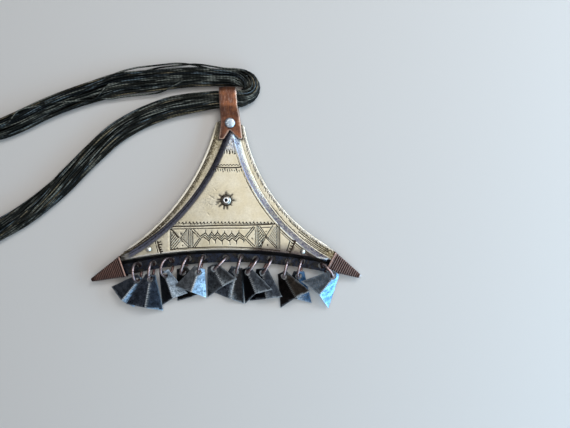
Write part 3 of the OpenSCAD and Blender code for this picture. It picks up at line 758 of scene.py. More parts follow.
# left crossed panel
cut([(169.9, 229.2), (170.1, 249.4)], 0.26, 0.10, 0.22)
cut([(170.4, 228.8), (172.8, 231.0), (178.2, 237.2)], 0.34, 0.14, 1.0)
cut([(180.2, 238.2), (182.0, 240.8)], 0.26, 0.13, 1.0)
cut([(182.0, 240.8), (188.4, 247.3)], 0.17, 0.11, 0.9)
cut([(181.2, 237.9), (189.6, 245.6)], 0.15, 0.10, 0.8)
cut([(186.6, 229.5), (181.0, 237.4)], 0.19, 0.12, 0.80)
hatch([(170.6, 236.0), (173.4, 233.2), (181.2, 241.4), (175.8, 249.6), (170.6, 249.4)], -51, 1.95, 0.19, 0.14, 1.0)
hatch([(170.4, 231.2), (173.2, 233.4), (170.4, 236.4)], -51, 1.42, 0.13, 0.08, 0.4)
hatch([(186.6, 230.4), (181.6, 238.0), (188.3, 245.0), (188.3, 230.4)], 84, 1.35, 0.10, 0.06, 0.34)
for x, y0, y1, h in ((188.7, 229.6, 247.0, 0.20), (190.4, 230.2, 247.4, 0.13), (192.0, 231.6, 245.6, 0.20), (193.2, 232.6, 244.2, 0.10)):
    cut([(x, y0), (x + 0.1, y1)], h, 0.11, 0.75)
for x, y in ((180.7, 233.6), (182.4, 245.2)):
    cut([(x, y - 0.25), (x + 0.1, y + 0.4)], 0.30, 0.12, 0.95)
for line in ([(190.6, 229.3), (198.4, 237.0)], [(193.2, 228.9), (200.0, 236.2)], [(198.6, 239.3), (192.9, 247.2)], [(200.7, 239.0), (194.9, 247.4)]):
    cut(line, 0.21, 0.12, 0.92)

# the triple zigzag with its ticks
zig = [(200.2, 236.4), (205.5, 232.7), (208.2, 236.5), (211.7, 232.3), (214.5, 236.0), (217.5, 232.3), (221.0, 236.9), (224.5, 232.8),
       (228.2, 236.9), (231.7, 233.2), (235.2, 237.0), (238.8, 232.6), (244.0, 237.0)]
cut(zig, 0.245, 0.15, 1.0)
cut([(200.8, 238.2), (205.0, 234.9), (208.1, 238.6), (211.7, 234.6), (214.5, 238.1), (217.5, 234.8), (221.2, 238.9), (224.5, 235.4),
     (228.2, 238.7), (231.8, 235.5), (235.3, 238.8), (239.0, 234.8), (243.6, 238.6)], 0.20, 0.13, 1.0)
third = [(204.2, 237.4), (208.5, 240.6), (211.5, 237.0), (214.7, 240.3), (217.3, 237.4), (221.5, 240.9), (224.7, 237.9), (229.1, 240.9),
         (232.2, 237.9), (235.9, 241.2), (239.4, 237.4), (243.6, 240.2)]
cut(third, 0.245, 0.15, 1.0)
for x, y in zig[1:-1:2]:
    cut([(x, y - 0.1), (x + 0.1, y - 2.1)], 0.20, 0.13, 1.0, 0.12)
for x, y in third[1:-1:2]:
    cut([(x + 0.6, y + 0.3), (x + 0.9, y + 3.1)], 0.21, 0.13, 1.0, 0.14)
cut([(243.5, 240.5), (243.7, 242.2)], 0.18, 0.12, 0.9, 0.10)
for line in ([(244.9, 236.9), (252.9, 226.9)], [(246.8, 237.6), (254.4, 228.0)], [(244.9, 239.0), (253.2, 247.3)], [(246.9, 238.4), (254.8, 246.2)]):
    cut(line, 0.21, 0.12, 0.92)
cut([(252.0, 238.0), (252.1, 238.7)], 0.28, 0.11, 0.8)

# right crossed panel
for x, y0, y1, h in ((255.2, 230.0, 244.0, 0.18), (257.0, 226.4, 248.0, 0.20), (258.4, 228.0, 248.2, 0.13)):
    cut([(x, y0), (x, y1)], h, 0.11, 0.8)
for line in ([(258.0, 226.2), (265.3, 236.3)], [(259.7, 226.0), (266.6, 235.8)], [(266.6, 238.4), (275.8, 247.9)], [(267.9, 237.7), (276.5, 246.6)],
             [(272.6, 225.6), (265.6, 236.6)], [(265.3, 237.6), (260.7, 248.2)], [(264.0, 237.3), (259.5, 248.2)]):
    cut(line, 0.19, 0.12, 0.88)
cut([(266.1, 236.3), (266.3, 238.0)], 0.34, 0.12, 0.6)
hatch([(258.7, 229.4), (264.6, 236.9), (261.0, 246.6), (258.7, 246.8)], -50, 2.0, 0.18, 0.13, 1.0)
hatch([(258.7, 229.4), (264.6, 236.9), (261.0, 246.6), (258.7, 246.8)], 48, 2.6, 0.10, 0.07, 0.45)
hatch([(273.2, 227.4), (267.6, 237.0), (276.3, 246.0), (276.3, 225.9)], -60, 1.5, 0.10, 0.07, 0.50)
for x, h in ((276.9, 0.20), (278.3, 0.12), (279.7, 0.22)):
    cut([(x, 224.5), (x, 248.6)], h, 0.11, 0.8)
for x, y in ((266.0, 231.3), (267.3, 245.0)):
    cut([(x, y - 0.25), (x + 0.1, y + 0.4)], 0.30, 0.12, 0.95)

# the two slanted stamped bands beside the small studs: a fine line, and a heavy one with teeth
for line, spine, ts, dx, dy in ((((155.2, 241.6), (157.9, 252.4)), ((157.2, 241.4), (160.6, 253.2)), (0.10, 0.31, 0.52, 0.71, 0.89), 2.4, -0.5),
                                (((290.0, 241.0), (286.9, 250.4)), ((295.2, 241.0), (289.6, 253.2)), (0.02, 0.24, 0.47, 0.69, 0.90), -2.2, -0.9)):
    cut(line, 0.24, 0.13, 0.95)
    cut(spine, 0.32, 0.16, 1.0)
    for t in ts:
        p = middle(*spine, t)
        cut([p, (p[0] + dx, p[1] + dy)], 0.46, 0.17, 1.0, 0.26)

# the star of stamps round the centre stud: inner end, outer end, half width, darkness
for (x0, y0), (x1, y1), h, d in (((225.7, 195.6), (225.9, 192.6), 0.62, 0.75), ((229.4, 196.8), (231.9, 194.9), 0.34, 0.8), ((230.9, 200.2), (233.9, 200.3), 0.56, 0.75),
                            ((229.6, 203.9), (231.1, 205.0), 0.26, 0.8), ((226.6, 205.4), (227.1, 208.3), 0.34, 0.85), ((224.3, 205.4), (223.9, 208.5), 0.34, 0.85),
                            ((221.7, 204.2), (219.3, 206.2), 0.34, 0.85), ((218.2, 203.5), (216.1, 204.4), 0.24, 0.5), ((219.9, 201.6), (217.2, 202.1), 0.30, 0.8),
                            ((220.1, 199.6), (217.8, 199.5), 0.32, 0.8), ((221.8, 197.1), (219.7, 195.3), 0.38, 0.8)):
    cut([(x0, y0), (x1 + (x1 - x0) * 0.08, y1 + (y1 - y0) * 0.08)], min(h * 1.9, 0.80), 0.13, d * 0.42, min(h * 1.6, 0.70))
for r, h, d in ((2.58, 0.21, 0.50), (2.95, 0.28, 0.12)):
    cut_mm([(STUD[0] + r * math.cos(a), STUD[1] + r * math.sin(a)) for a in np.linspace(0, PI2, 33)], h, 0.10, d)

# fine lines beside the right edge of the panel, and old scratches
def beside_right(a0, a1, near, far):
    """A line along the panel's right edge, whose distance from it goes from near to far."""
    n = int(a1 - a0)
    out = []
    for k in range(n + 1):
        a, r = math.radians(a0 + (a1 - a0) * k / n), PANEL_R[2] + near + (far - near) * k / n
        out.append((PANEL_R[0] + r * math.cos(a), PANEL_R[1] + r * math.sin(a)))
    return out


cut_mm(beside_right(187, 206, 1.0, 1.0), 0.11, 0.06, 0.45)
cut_mm(beside_right(206, 224, 1.0, 0.85), 0.17, 0.10, 0.95)
cut_mm(beside_right(224, 243, 0.85, 0.55), 0.21, 0.13, 1.0)
cut_mm(beside_right(224, 241, 1.75, 1.30), 0.12, 0.06, 0.6)
for line in ([(209.5, 195.6), (214.2, 199.0)], [(214.5, 188.6), (216.0, 190.4)], [(245.6, 187.8), (246.9, 187.6)], [(209, 204.2), (211.6, 204.9)],
             [(263.4, 187.2), (265.0, 188.8)], [(215.6, 203.2), (218.0, 203.6)], [(207.6, 213.4), (209.2, 215.0)], [(250.5, 176.0), (253.0, 177.4)]):
    cut(line, 0.08, 0.03, 0.16)

# the flanges' own lines: a raised rim, a groove inside it, a groove at the wall's foot, small slanted strokes
cut_mm(arc(EDGE_L, EDGE_L[2] + 1.30, -68, -17, 1.3), 0.14, 0.09, 0.40)
cut_mm(arc((PANEL_L[0], PANEL_L[1]), PANEL_L[2] - RUN_L - 1.15, -66, -48, 1.3), 0.16, 0.12, 0.75)
cut_mm(arc(EDGE_R, EDGE_R[2] + 0.55, 190, 244, 1.3), 0.10, 0.05, 0.35)
cut_mm(arc((PANEL_R[0], PANEL_R[1]), PANEL_R[2] - RUN_R - 0.55, 188, 216, 1.3), 0.11, 0.06, 0.30)
cut_mm(arc((PANEL_R[0], PANEL_R[1]), PANEL_R[2] - RUN_R - 0.60, 216, 240, 1.3), 0.17, 0.10, 0.80)
strokes = np.random.default_rng(5)
for k in range(52):
    a = math.radians(190.5 + k * 1.02 + strokes.uniform(-0.2, 0.2))
    r = EDGE_R[2] + 1.05 + strokes.uniform(0, 0.3)
    c, s = math.cos(a), math.sin(a)
    b, deep = math.radians(strokes.uniform(0.4, 1.1)), strokes.uniform(0.5, 1.15)
    long = strokes.uniform(0.35, 0.85)
    x0, y0 = EDGE_R[0] + r * c, EDGE_R[1] + r * s
    x1, y1 = EDGE_R[0] + (r + long) * math.cos(a + b), EDGE_R[1] + (r + long) * math.sin(a + b)
    cuts.append((x0, y0, x1, y1, 0.20, 0.12, 0.10 * deep, 0.62 * deep))
for d, a0, a1, h in ((1.9, 225, 241.5, 0.20), (2.7, 230, 241, 0.24), (3.5, 233, 240.5, 0.16)):
    cut_mm(arc(EDGE_R, EDGE_R[2] + d, a0, a1, 1.3), h, 0.10, 0.75)
for k in range(66):
    a = math.radians(-62 + k * 0.66)
    r = EDGE_L[2] + 1.50
    x0, y0 = EDGE_L[0] + r * math.cos(a), EDGE_L[1] + r * math.sin(a)
    x1, y1 = EDGE_L[0] + (r + 1.05) * math.cos(a + 0.019), EDGE_L[1] + (r + 1.05) * math.sin(a + 0.019)
    cuts.append((x0, y0, x1, y1, 0.21, 0.12, 0.08, 0.22 + 0.16 * (k * 7 % 3)))

cuts = np.array(cuts, float)
cuts[:, 4:6] *= 1.25
cuts[:, 6] *= 1.25


# parts of the frieze whose fine cuts hold dirt: corners in picture points, and how dark
TINTED = [([at(x, y) for x, y in c], s) for c, s in (
    (((186.8, 229.4), (181.2, 237.4), (188.7, 246.4), (188.8, 229.4)), 0.27),
    (((188.7, 229.4), (193.3, 231.0), (193.3, 245.2), (188.7, 247.0)), 0.20),
    (((169.5, 229.4), (171.5, 229.9), (171.5, 248.8), (169.5, 249.5)), 0.30),
    (((171.5, 231.0), (178.0, 238.0), (175.0, 240.0), (171.5, 236.5)), 0.22),
    (((272.5, 225.7), (266.9, 236.7), (276.5, 246.4), (276.5, 225.5)), 0.30),
    (((276.5, 225.0), (280.1, 224.6), (280.1, 248.8), (276.5, 248.6)), 0.34),
    (((255.4, 227.0), (264.8, 237.0), (260.6, 247.4), (255.4, 247.2)), 0.13))]


def within(p, corners):
    """1 inside the polygon, 0 outside."""
    inside = np.zeros(len(p), bool)
    for (x0, y0), (x1, y1) in zip(corners, corners[1:] + corners[:1]):
        hit = ((y0 > p[:, 1]) != (y1 > p[:, 1])) & (p[:, 0] < (x1 - x0) * (p[:, 1] - y0) / (y1 - y0 if y1 != y0 else 1e-9) + x0)
        inside ^= hit
    return inside.astype(float)


def shell_height(p):
    """The shell's upper surface without its engraving, and the marks that its finish uses."""
    wl, wr, wlow = beyond(p, PANEL_L), beyond(p, PANEL_R), beyond(p, PANEL_LOW)
    rise = PANEL_Z - FLANGE_TOP
    zl = PANEL_Z + wl * rise / (RUN_L + 0.15)
    zr = PANEL_Z + wr * rise / RUN_R
    zlow = PANEL_Z + wlow * (PANEL_Z - SHELL_Z) / RUN_LOW
    panel = np.full(len(p), PANEL_Z)
    z = smin(smin(panel, zl, 0.60), zr, 0.24)
    for c in (CAP_L, CAP_R):
        m, v = middle(c[0], c[1]), unit(middle(c[0], c[1]), middle(c[2], c[3]))
        run = (p[:, 0] - m[0]) * v[0] + (p[:, 1] - m[1]) * v[1] + 5.0
        z = smin(z, PANEL_Z - run * math.tan(math.radians(42.3)), 0.6)
    z = smax(z, np.full(len(p), FLANGE_TOP), np.where(p[:, 0] > 2, 0.22, 0.55))
    z = smin(z, zlow + 0.05, 0.45)
    under = in_polygon(p, bail_plan(0.12))
    z = np.where(under, np.minimum(z, FLANGE_TOP), z)
    return z, wl, wr, wlow


def shell():
    lines = []
    for c, radii in ((EDGE_L, (0, 0.18, 0.5, 0.95)), (EDGE_R, (0, 0.18, 0.45, 0.85))):
        a0, a1 = (-75, -10) if c is EDGE_L else (186, 252)
        for d in radii:
            lines += polyline(arc(c, c[2] + d, a0, a1, 1.0), 9)
    for c, run, a0, a1 in ((PANEL_L, RUN_L, -70, -14), (PANEL_R, RUN_R, 184, 244)):
        for d in (0.30, 0.12, -0.06, -0.25, -run + 0.22, -run + 0.02, -run - 0.22):
            lines += polyline(arc(c, c[2] + d, a0, a1, 1.0), 9)
    for d in (-0.60, -0.95, -1.25, -1.50, -1.75, -2.05, -2.40, -3.40, -3.62, -3.78, -3.94):
        lines += polyline(arc(PANEL_L, PANEL_L[2] + d, -70, -14, 1.0), 9)
    for d in (-0.55, -0.90, -1.25, -1.60, -1.95):
        lines += polyline(arc(PANEL_R, PANEL_R[2] + d, 184, 244, 1.0), 9)
    for d in (1.62, 2.85, 3.15):
        lines += polyline(arc(EDGE_L, EDGE_L[2] + d, -62, -14, 1.0), 9)
    for d in (0.30, 0.12, -0.06, -0.25, -RUN_LOW + 0.15, -RUN_LOW):
        lines += polyline(arc(PANEL_LOW, PANEL_LOW[2] + d, 74, 106, 1.0), 9)
    lines += polyline(OUTLINE, 1.2, True) + polyline(CUT_L, 1.2, True) + polyline(CUT_R, 1.2, True)
    lines += polyline(bail_plan(0.12), 1.0, True) + polyline(bail_plan(0.24), 1.0, True)
    for x0, y0, x1, y1, h0, h1, _, _ in cuts:
        l = math.hypot(x1 - x0, y1 - y0) or 1e-6
        nx, ny = -(y1 - y0) / l, (x1 - x0) / l
        lines += polyline([(x0, y0), (x1, y1)], 1.1)
        for s in (1, -1):
            lines += polyline([(x0 + s * nx * h0, y0 + s * ny * h0), (x1 + s * nx * h1, y1 + s * ny * h1)], 1.1)
        if math.hypot(x1 - x0, y1 - y0) < 1.4:
            lines += polyline([(x0 - nx * h0, y0 - ny * h0), (x0 + nx * h0, y0 + ny * h0)], 1.1)
            lines += polyline([(x1 - nx * h1, y1 - ny * h1), (x1 + nx * h1, y1 + ny * h1)], 1.1)
    segs = np.array(lines)
    extra = lattice(-67, 67, -41, 43, 0.85)
    extra = extra[in_shell(extra)]
    extra = extra[nearest(extra, segs) > 0.22]
    pts, tris = cdt(lines, extra)
    middle_of = pts[tris].mean(1)
    area = np.cross(pts[tris[:, 1]] - pts[tris[:, 0]], pts[tris[:, 2]] - pts[tris[:, 0]])
    tris = tris[in_shell(middle_of) & (np.abs(area) > 1e-7)]
    area = np.cross(pts[tris[:, 1]] - pts[tris[:, 0]], pts[tris[:, 2]] - pts[tris[:, 0]])
    tris[area < 0] = tris[area < 0][:, ::-1]
    used = np.unique(tris)
    again = np.full(len(pts), -1)
    again[used] = np.arange(len(used))
    pts, tris = pts[used], again[tris]
    z, wl, wr, wlow = shell_height(pts)
    # the engraving
    depth, dark = np.zeros(len(pts)), np.zeros(len(pts))
    seg, h0, h1 = cuts[:, :4], cuts[:, 4], cuts[:, 5]
    for k in range(0, len(pts), 1500):
        d, t = distances(pts[k:k + 1500], seg)
        w = np.clip(1 - d / (h0 + (h1 - h0) * t), 0, 1)
        depth[k:k + 1500] = (w * cuts[:, 6]).max(1)
        dark[k:k + 1500] = (w * cuts[:, 7]).max(1)
    el, er = beyond(pts, EDGE_L), beyond(pts, EDGE_R)
    on_panel = np.clip((z - (PANEL_Z - 0.5)) / 0.4, 0, 1)
    on_flange = (z < FLANGE_TOP + 0.35) & (wlow > 0)
    # gentle unevenness, the rolled rim, and the edge's rounding
    z = z + wobble(pts, 5, (34, 19), 0.10) * on_panel + wobble(pts, 8, (9, 6), 0.030) + wobble(pts, 14, (5, 3.3), 0.05) * (1 - on_panel)
    rim = smin(el, er, 0.3)
    roll = np.clip(1 - np.abs(rim - 0.62) / 0.62, 0, 1)
    z = z + np.where(on_flange, 0.10 * roll, 0)
    z = z - np.where(on_flange, np.clip(0.20 - rim, 0, 0.2) * 1.1, 0)
    z = np.maximum(z - depth, SHELL_Z + 0.06)
    # how dark and how bright: painted shade and painted reflections on the walls, and edges with painted highlights and
    # some wear
    wall_l = np.clip((0.32 - wl) / 0.70, 0, 1) * np.clip((wl + RUN_L + 0.55) / 0.45, 0, 1) * np.clip((el - 1.35) / 0.5, 0, 1)
    wall_r = np.clip((0.06 + 0.42 * np.clip((pts[:, 1] - 2) / 8, 0, 1) - wr) / 0.30, 0, 1) * np.clip((wr + RUN_R + 0.20) / 0.35, 0, 1)
    wall_r = wall_r * (1 - np.clip((-wr - 1.45) / 0.5, 0, 1) * np.clip((pts[:, 1] - 1) / 6, 0, 1))
    wall_low = np.clip((-0.12 - wlow) / 0.30, 0, 1)
    high = np.clip((pts[:, 1] - 18) / 12, 0, 1)
    # blue: painted shade and reflection on the left wall; lavender: painted reflection on the right wall, weaker near
    # the top
    blue = wall_l * (wlow > -0.1)
    lavender = wall_r * (1 - 0.45 * high)
    # the lightness of the painted shade and reflections across each wall, from the panel's edge to the foot
    across = -wl
    lower = np.interp(across, [0, 0.3, 1.0, 1.4, 1.7, 2.1, 2.4, 2.8, 3.05, 3.4], [0.66, 0.52, 0.44, 0.40, 0.10, 0.12, 0.68, 0.70, 0.26, 0.22])
    upper_part = np.interp(across, [0, 0.5, 1.1, 1.6, 2.0, 2.6, 3.4], [0.58, 0.48, 0.36, 0.22, 0.30, 0.22, 0.16])
    t = np.clip((pts[:, 1] - 2.0) / 16.0, 0, 1)
    sheen = lower * (1 - t) + upper_part * t
    along_r = np.interp(pts[:, 1], [-24, -14, -8, -2, 6, 16, 26], [0.42, 0.34, 0.20, 0.42, 0.58, 0.72, 0.95])
    outer = np.clip((-wr - 1.3) / 0.5, 0, 1) * np.clip(1 - np.abs(pts[:, 1] + 9) / 7, 0, 1)
    sheen = np.where(wr < 0.1, along_r * (1 - 0.85 * outer), sheen)
    glint = np.clip(1.5 - np.abs(wr + 1.95) / 0.6, 0, 1) * np.clip((pts[:, 1] + 3) / 5, 0, 1) * np.clip((30 - pts[:, 1]) / 5, 0, 1) * 0.9
    for c in (CAP_L, CAP_R):                       # the ramps that fall to the caps
        m, v = middle(c[0], c[1]), unit(middle(c[0], c[1]), middle(c[2], c[3]))
        run = (pts[:, 0] - m[0]) * v[0] + (pts[:, 1] - m[1]) * v[1] + 5.0
        near = np.clip((run + 1.0) / 2.0, 0, 1)
        blue = blue * (1 - near * 0.45)
    flange_l = on_flange & (wl < -RUN_L - 0.1) & (el > 1.05 - 0.35 * high) & (pts[:, 0] < 2)
    flange_r = on_flange & (wr < -RUN_R - 0.1) & (pts[:, 0] > 2)
    cap_r = np.exp(-((pts[:, 0] - 51.5) ** 2 + (pts[:, 1] + 26) ** 2) / 70.0)
    band = np.clip((el - 1.20) / 0.40, 0, 1) * np.clip((3.20 - el) / 0.35, 0, 1)
    loose = 0.66 - 0.10 * np.clip((pts[:, 1] - 12) / 14, 0, 1) + 0.30 * np.clip((pts[:, 1] - 29) / 5, 0, 1) + 0.25 * np.clip((-23 - pts[:, 1]) / 4, 0, 1)
    loose = loose + 0.22 * np.clip((pts[:, 1] - 16) / 10, 0, 1)
    olive = np.where(flange_l, (loose + (0.92 - loose) * band * (1 - 0.45 * high)) * (1 - 0.22 * np.exp(-((pts[:, 1] - 4) / 14) ** 2)), 0) + np.where(flange_r & (er > 0.9), 0.24 + 0.72 * cap_r, 0)
    olive = olive + 0.14 * ((wl > 0.1) & (wr > 0.1))
    reach = np.clip((pts[:, 0] - 9) / 6, 0, 1)
    # painted shade on the lower wall, which faces away from the light, and on the rounding above it towards the right
    shade_and_joints = 0.97 * np.maximum(wall_low, np.clip((0.12 - wlow) / 0.35, 0, 1) * reach)
    for c, r, s in ((STUD, 2.8, 0.95), (STUD_L, 1.6, 0.6), (STUD_R, 1.6, 0.6)):
        d = np.hypot(pts[:, 0] - c[0], pts[:, 1] - c[1])
        shade_and_joints = np.maximum(shade_and_joints, s * np.clip((r + 0.25 - d) / 0.5, 0, 1))
    # painted shadow round the swallow tails, where the strap stands on the flange
    tail = nearest(pts, np.array(polyline(bail_plan(0.0), 9, True)))
    shade_and_joints = np.maximum(shade_and_joints, np.where((pts[:, 1] < 40) & (tail < 1.3), 0.85 * np.clip((1.15 - tail) / 0.8, 0, 1), 0))
    # painted shadow of the strap on the flange to its left, near the top
    side = (pts[:, 0] < -1.5) & (tail < 3.2) & (pts[:, 1] > 31)
    shade_and_joints = np.maximum(shade_and_joints, np.where(side, 0.80 * np.clip((3.2 - tail) / 2.0, 0, 1), 0))
    # the panel darkens a little towards the right end of its lower edge
    corner = np.clip((pts[:, 0] - 38.3) / 1.4, 0, 1) * np.clip((wr - 0.75) / 0.25, 0, 1) * (wlow > -0.1)
    shade_and_joints = np.maximum(shade_and_joints, 0.86 * corner)
    # painted highlights along the panel's rounded edges, stronger on the right, on the flange rims and along the
    # panel's lower edge, with some wear
    wear_and_highlight = np.clip(1 - np.abs(wl - 0.10) / 0.20, 0, 1) * 0.25 + np.clip(1 - np.abs(wr - 0.10) / 0.17, 0, 1) * 0.8 * np.clip((9 - pts[:, 1]) / 10, 0.1, 1)
    wear_and_highlight = np.maximum(wear_and_highlight, np.where(on_flange, roll * (1 - 0.65 * np.clip((pts[:, 1] - 25) / 7, 0, 1) * (pts[:, 0] < 0)), 0))
    wear_and_highlight = np.maximum(wear_and_highlight, np.where(flange_l, np.clip(1 - np.abs(wl + 3.78) / 0.16, 0, 1) * 0.7 * np.clip((14 - pts[:, 1]) / 8, 0, 1), 0))
    wear_and_highlight = np.maximum(wear_and_highlight, np.clip(1 - np.abs(wlow - 0.25) / 0.4, 0, 1) * 0.9)
    apex = np.clip((pts[:, 1] - 22.0) / 5.0, 0, 1) * np.clip((wl + 0.7) / 0.5, 0, 1) * np.clip((wr + 2.6) / 1.0, 0, 1)
    apex = apex * np.clip((pts[:, 0] + 1.5) / 1.0, 0, 1)
    # dirt in blotches on the panel, and painted shade within 1.8 mm of its left edge, where it rounds over
    grime_and_shade = 0.55 * np.exp(-((pts[:, 0] + 9) / 7.0) ** 2 - ((pts[:, 1] - 1) / 8.0) ** 2)
    grime_and_shade = np.maximum(grime_and_shade, 0.25 * np.exp(-((pts[:, 0] + 19) / 8.0) ** 2 - ((pts[:, 1] + 8) / 4.0) ** 2))
    grime_and_shade = np.maximum(grime_and_shade, 0.65 * np.clip((1.8 - wl) / 1.8, 0, 1) * (wl > 0)) * (wr > 0)
    # the panel darker towards its lower edge on the right half and past the slanted band, and in the frieze's fine-cut
    # fields
    far = 1.75 + 1.75 * np.clip((pts[:, 0] - 14) / 12, 0, 1)
    darkened = 0.96 * reach * np.exp(-(np.maximum(wlow - 0.3, 0) / far) ** 2) * (wlow > -0.5) * (wr > 0.05)
    beyond_band = np.clip((pts[:, 0] - 34.9 + (pts[:, 1] + 20) * -0.45) / 0.8, 0, 1) * (wr > 0.3) * (wlow > -0.1)
    darkened = np.maximum(darkened, beyond_band * 0.72 * np.exp(-(np.maximum(wlow - 1.0, 0) / 3.6) ** 2))
    for c, strength in TINTED:
        darkened = np.maximum(darkened, strength * within(pts, c))
    wear_and_highlight = wear_and_highlight * (1 - np.clip(dark * 2.3, 0, 1)) * (1 - shade_and_joints) * (1 - darkened)
    low3 = np.c_[pts, np.full(len(pts), SHELL_Z)]
    all_pts, all_faces = closed(np.c_[pts, z], tris, low3)
    zero = np.zeros(len(pts))
    marks = {"cut": np.r_[dark, zero], "shade_and_joints": np.r_[shade_and_joints, zero], "blue": np.r_[blue, zero], "lavender": np.r_[lavender, zero],
             "olive": np.r_[olive, zero], "wear_and_highlight": np.r_[wear_and_highlight, zero], "apex": np.r_[apex, zero], "sheen": np.r_[sheen, zero],
             "glint": np.r_[glint, zero], "grime_and_shade": np.r_[grime_and_shade, zero], "darkened": np.r_[darkened, zero]}
    print("shell", len(pts), "points", len(tris), "triangles", len(cuts), "cuts")
    return piece("shell_engraved", all_pts, all_faces, SILVER, ("front_shell",), marks, 26.0)


shell()


# ---- thin sheets with a rounded edge: the flags and the bail's strap ----------------------------

def inset(poly, by):
    """The polygon, counterclockwise, with each side moved in by that much."""
    out, n = [], len(poly)
    for i in range(n):
        p, q, r = poly[i - 1], poly[i], poly[(i + 1) % n]
        u, v = unit(p, q), unit(q, r)
        a = (q[0] - u[1] * by, q[1] + u[0] * by)
        b = (q[0] - v[1] * by, q[1] + v[0] * by)
        det = u[0] * v[1] - u[1] * v[0]
        if abs(det) < 0.05:
            out.append(a)
            continue
        t = ((b[0] - a[0]) * v[1] - (b[1] - a[1]) * v[0]) / det
        out.append((a[0] + u[0] * t, a[1] + u[1] * t))
    return out


def flat_sheet(poly, holes, step, thick, soft, guides=()):
    """Plan points, triangles, half thickness at each point and distance to the nearest edge."""
    edge = polyline(poly, step, True)
    rims = list(edge)
    lines = list(edge) + polyline(inset(poly, soft * 0.35), step, True) + polyline(inset(poly, soft), step, True)
    for x, y, r in holes:
        for k, d in enumerate((0.0, soft * 0.35, soft)):
            ring = [(x + (r + d) * math.cos(a), y + (r + d) * math.sin(a)) for a in np.linspace(0, PI2, 29)[:-1]]
            lines += polyline(ring, 9, True)
            if k == 0:
                rims += polyline(ring, 9, True)
    for g in guides:
        lines += polyline(g, 0.26)
    xs, ys = [p[0] for p in poly], [p[1] for p in poly]
    extra = lattice(min(xs), max(xs), min(ys), max(ys), step)
    extra = extra[in_polygon(extra, poly)]
    extra = extra[nearest(extra, np.array(lines)) > step * 0.35]
    pts, tris = cdt(lines, extra)

    def keep(q):
        ok = in_polygon(q, poly)
        for x, y, r in holes:
            ok &= np.hypot(q[:, 0] - x, q[:, 1] - y) > r * 0.985
        return ok

    area = np.cross(pts[tris[:, 1]] - pts[tris[:, 0]], pts[tris[:, 2]] - pts[tris[:, 0]])
    tris = tris[keep(pts[tris].mean(1)) & (np.abs(area) > 1e-7)]
    area = np.cross(pts[tris[:, 1]] - pts[tris[:, 0]], pts[tris[:, 2]] - pts[tris[:, 0]])
    tris[area < 0] = tris[area < 0][:, ::-1]
    used = np.unique(tris)
    again = np.full(len(pts), -1)
    again[used] = np.arange(len(used))
    pts, tris = pts[used], again[tris]
    e = nearest(pts, np.array(rims))
    x = np.clip(e, 0, soft)
    half = thick / 2 - soft + np.sqrt(np.maximum(soft ** 2 - (soft - x) ** 2, 0))
    return pts, tris, half, e


def ring_frame(i):
    a, lean, _ = RINGS[i]
    a, lean = math.radians(a), math.radians(lean)
    d = np.array([math.sin(a), -math.cos(a), 0.0])
    s = np.array([math.cos(a), math.sin(a), 0.0])
    up = math.cos(lean) * np.array([0, 0, 1.0]) + math.sin(lean) * s
    zc = RING_R * math.cos(lean) + WIRE_R + 0.05

    def turn_at(z):
        sn = (z - zc) / (RING_R * math.cos(lean))
        return sn, math.sqrt(1 - sn * sn)

    sn, cs = turn_at(PLATE_Z + PLATE_T / 2)
    off = RING_R * (-cs * d + sn * up)
    centre = np.array([HOLES[i][0] - off[0], HOLES[i][1] - off[1], zc])
    sn, cs = turn_at(RINGS[i][2])
    return centre, d, up, centre + RING_R * (cs * d + sn * up)


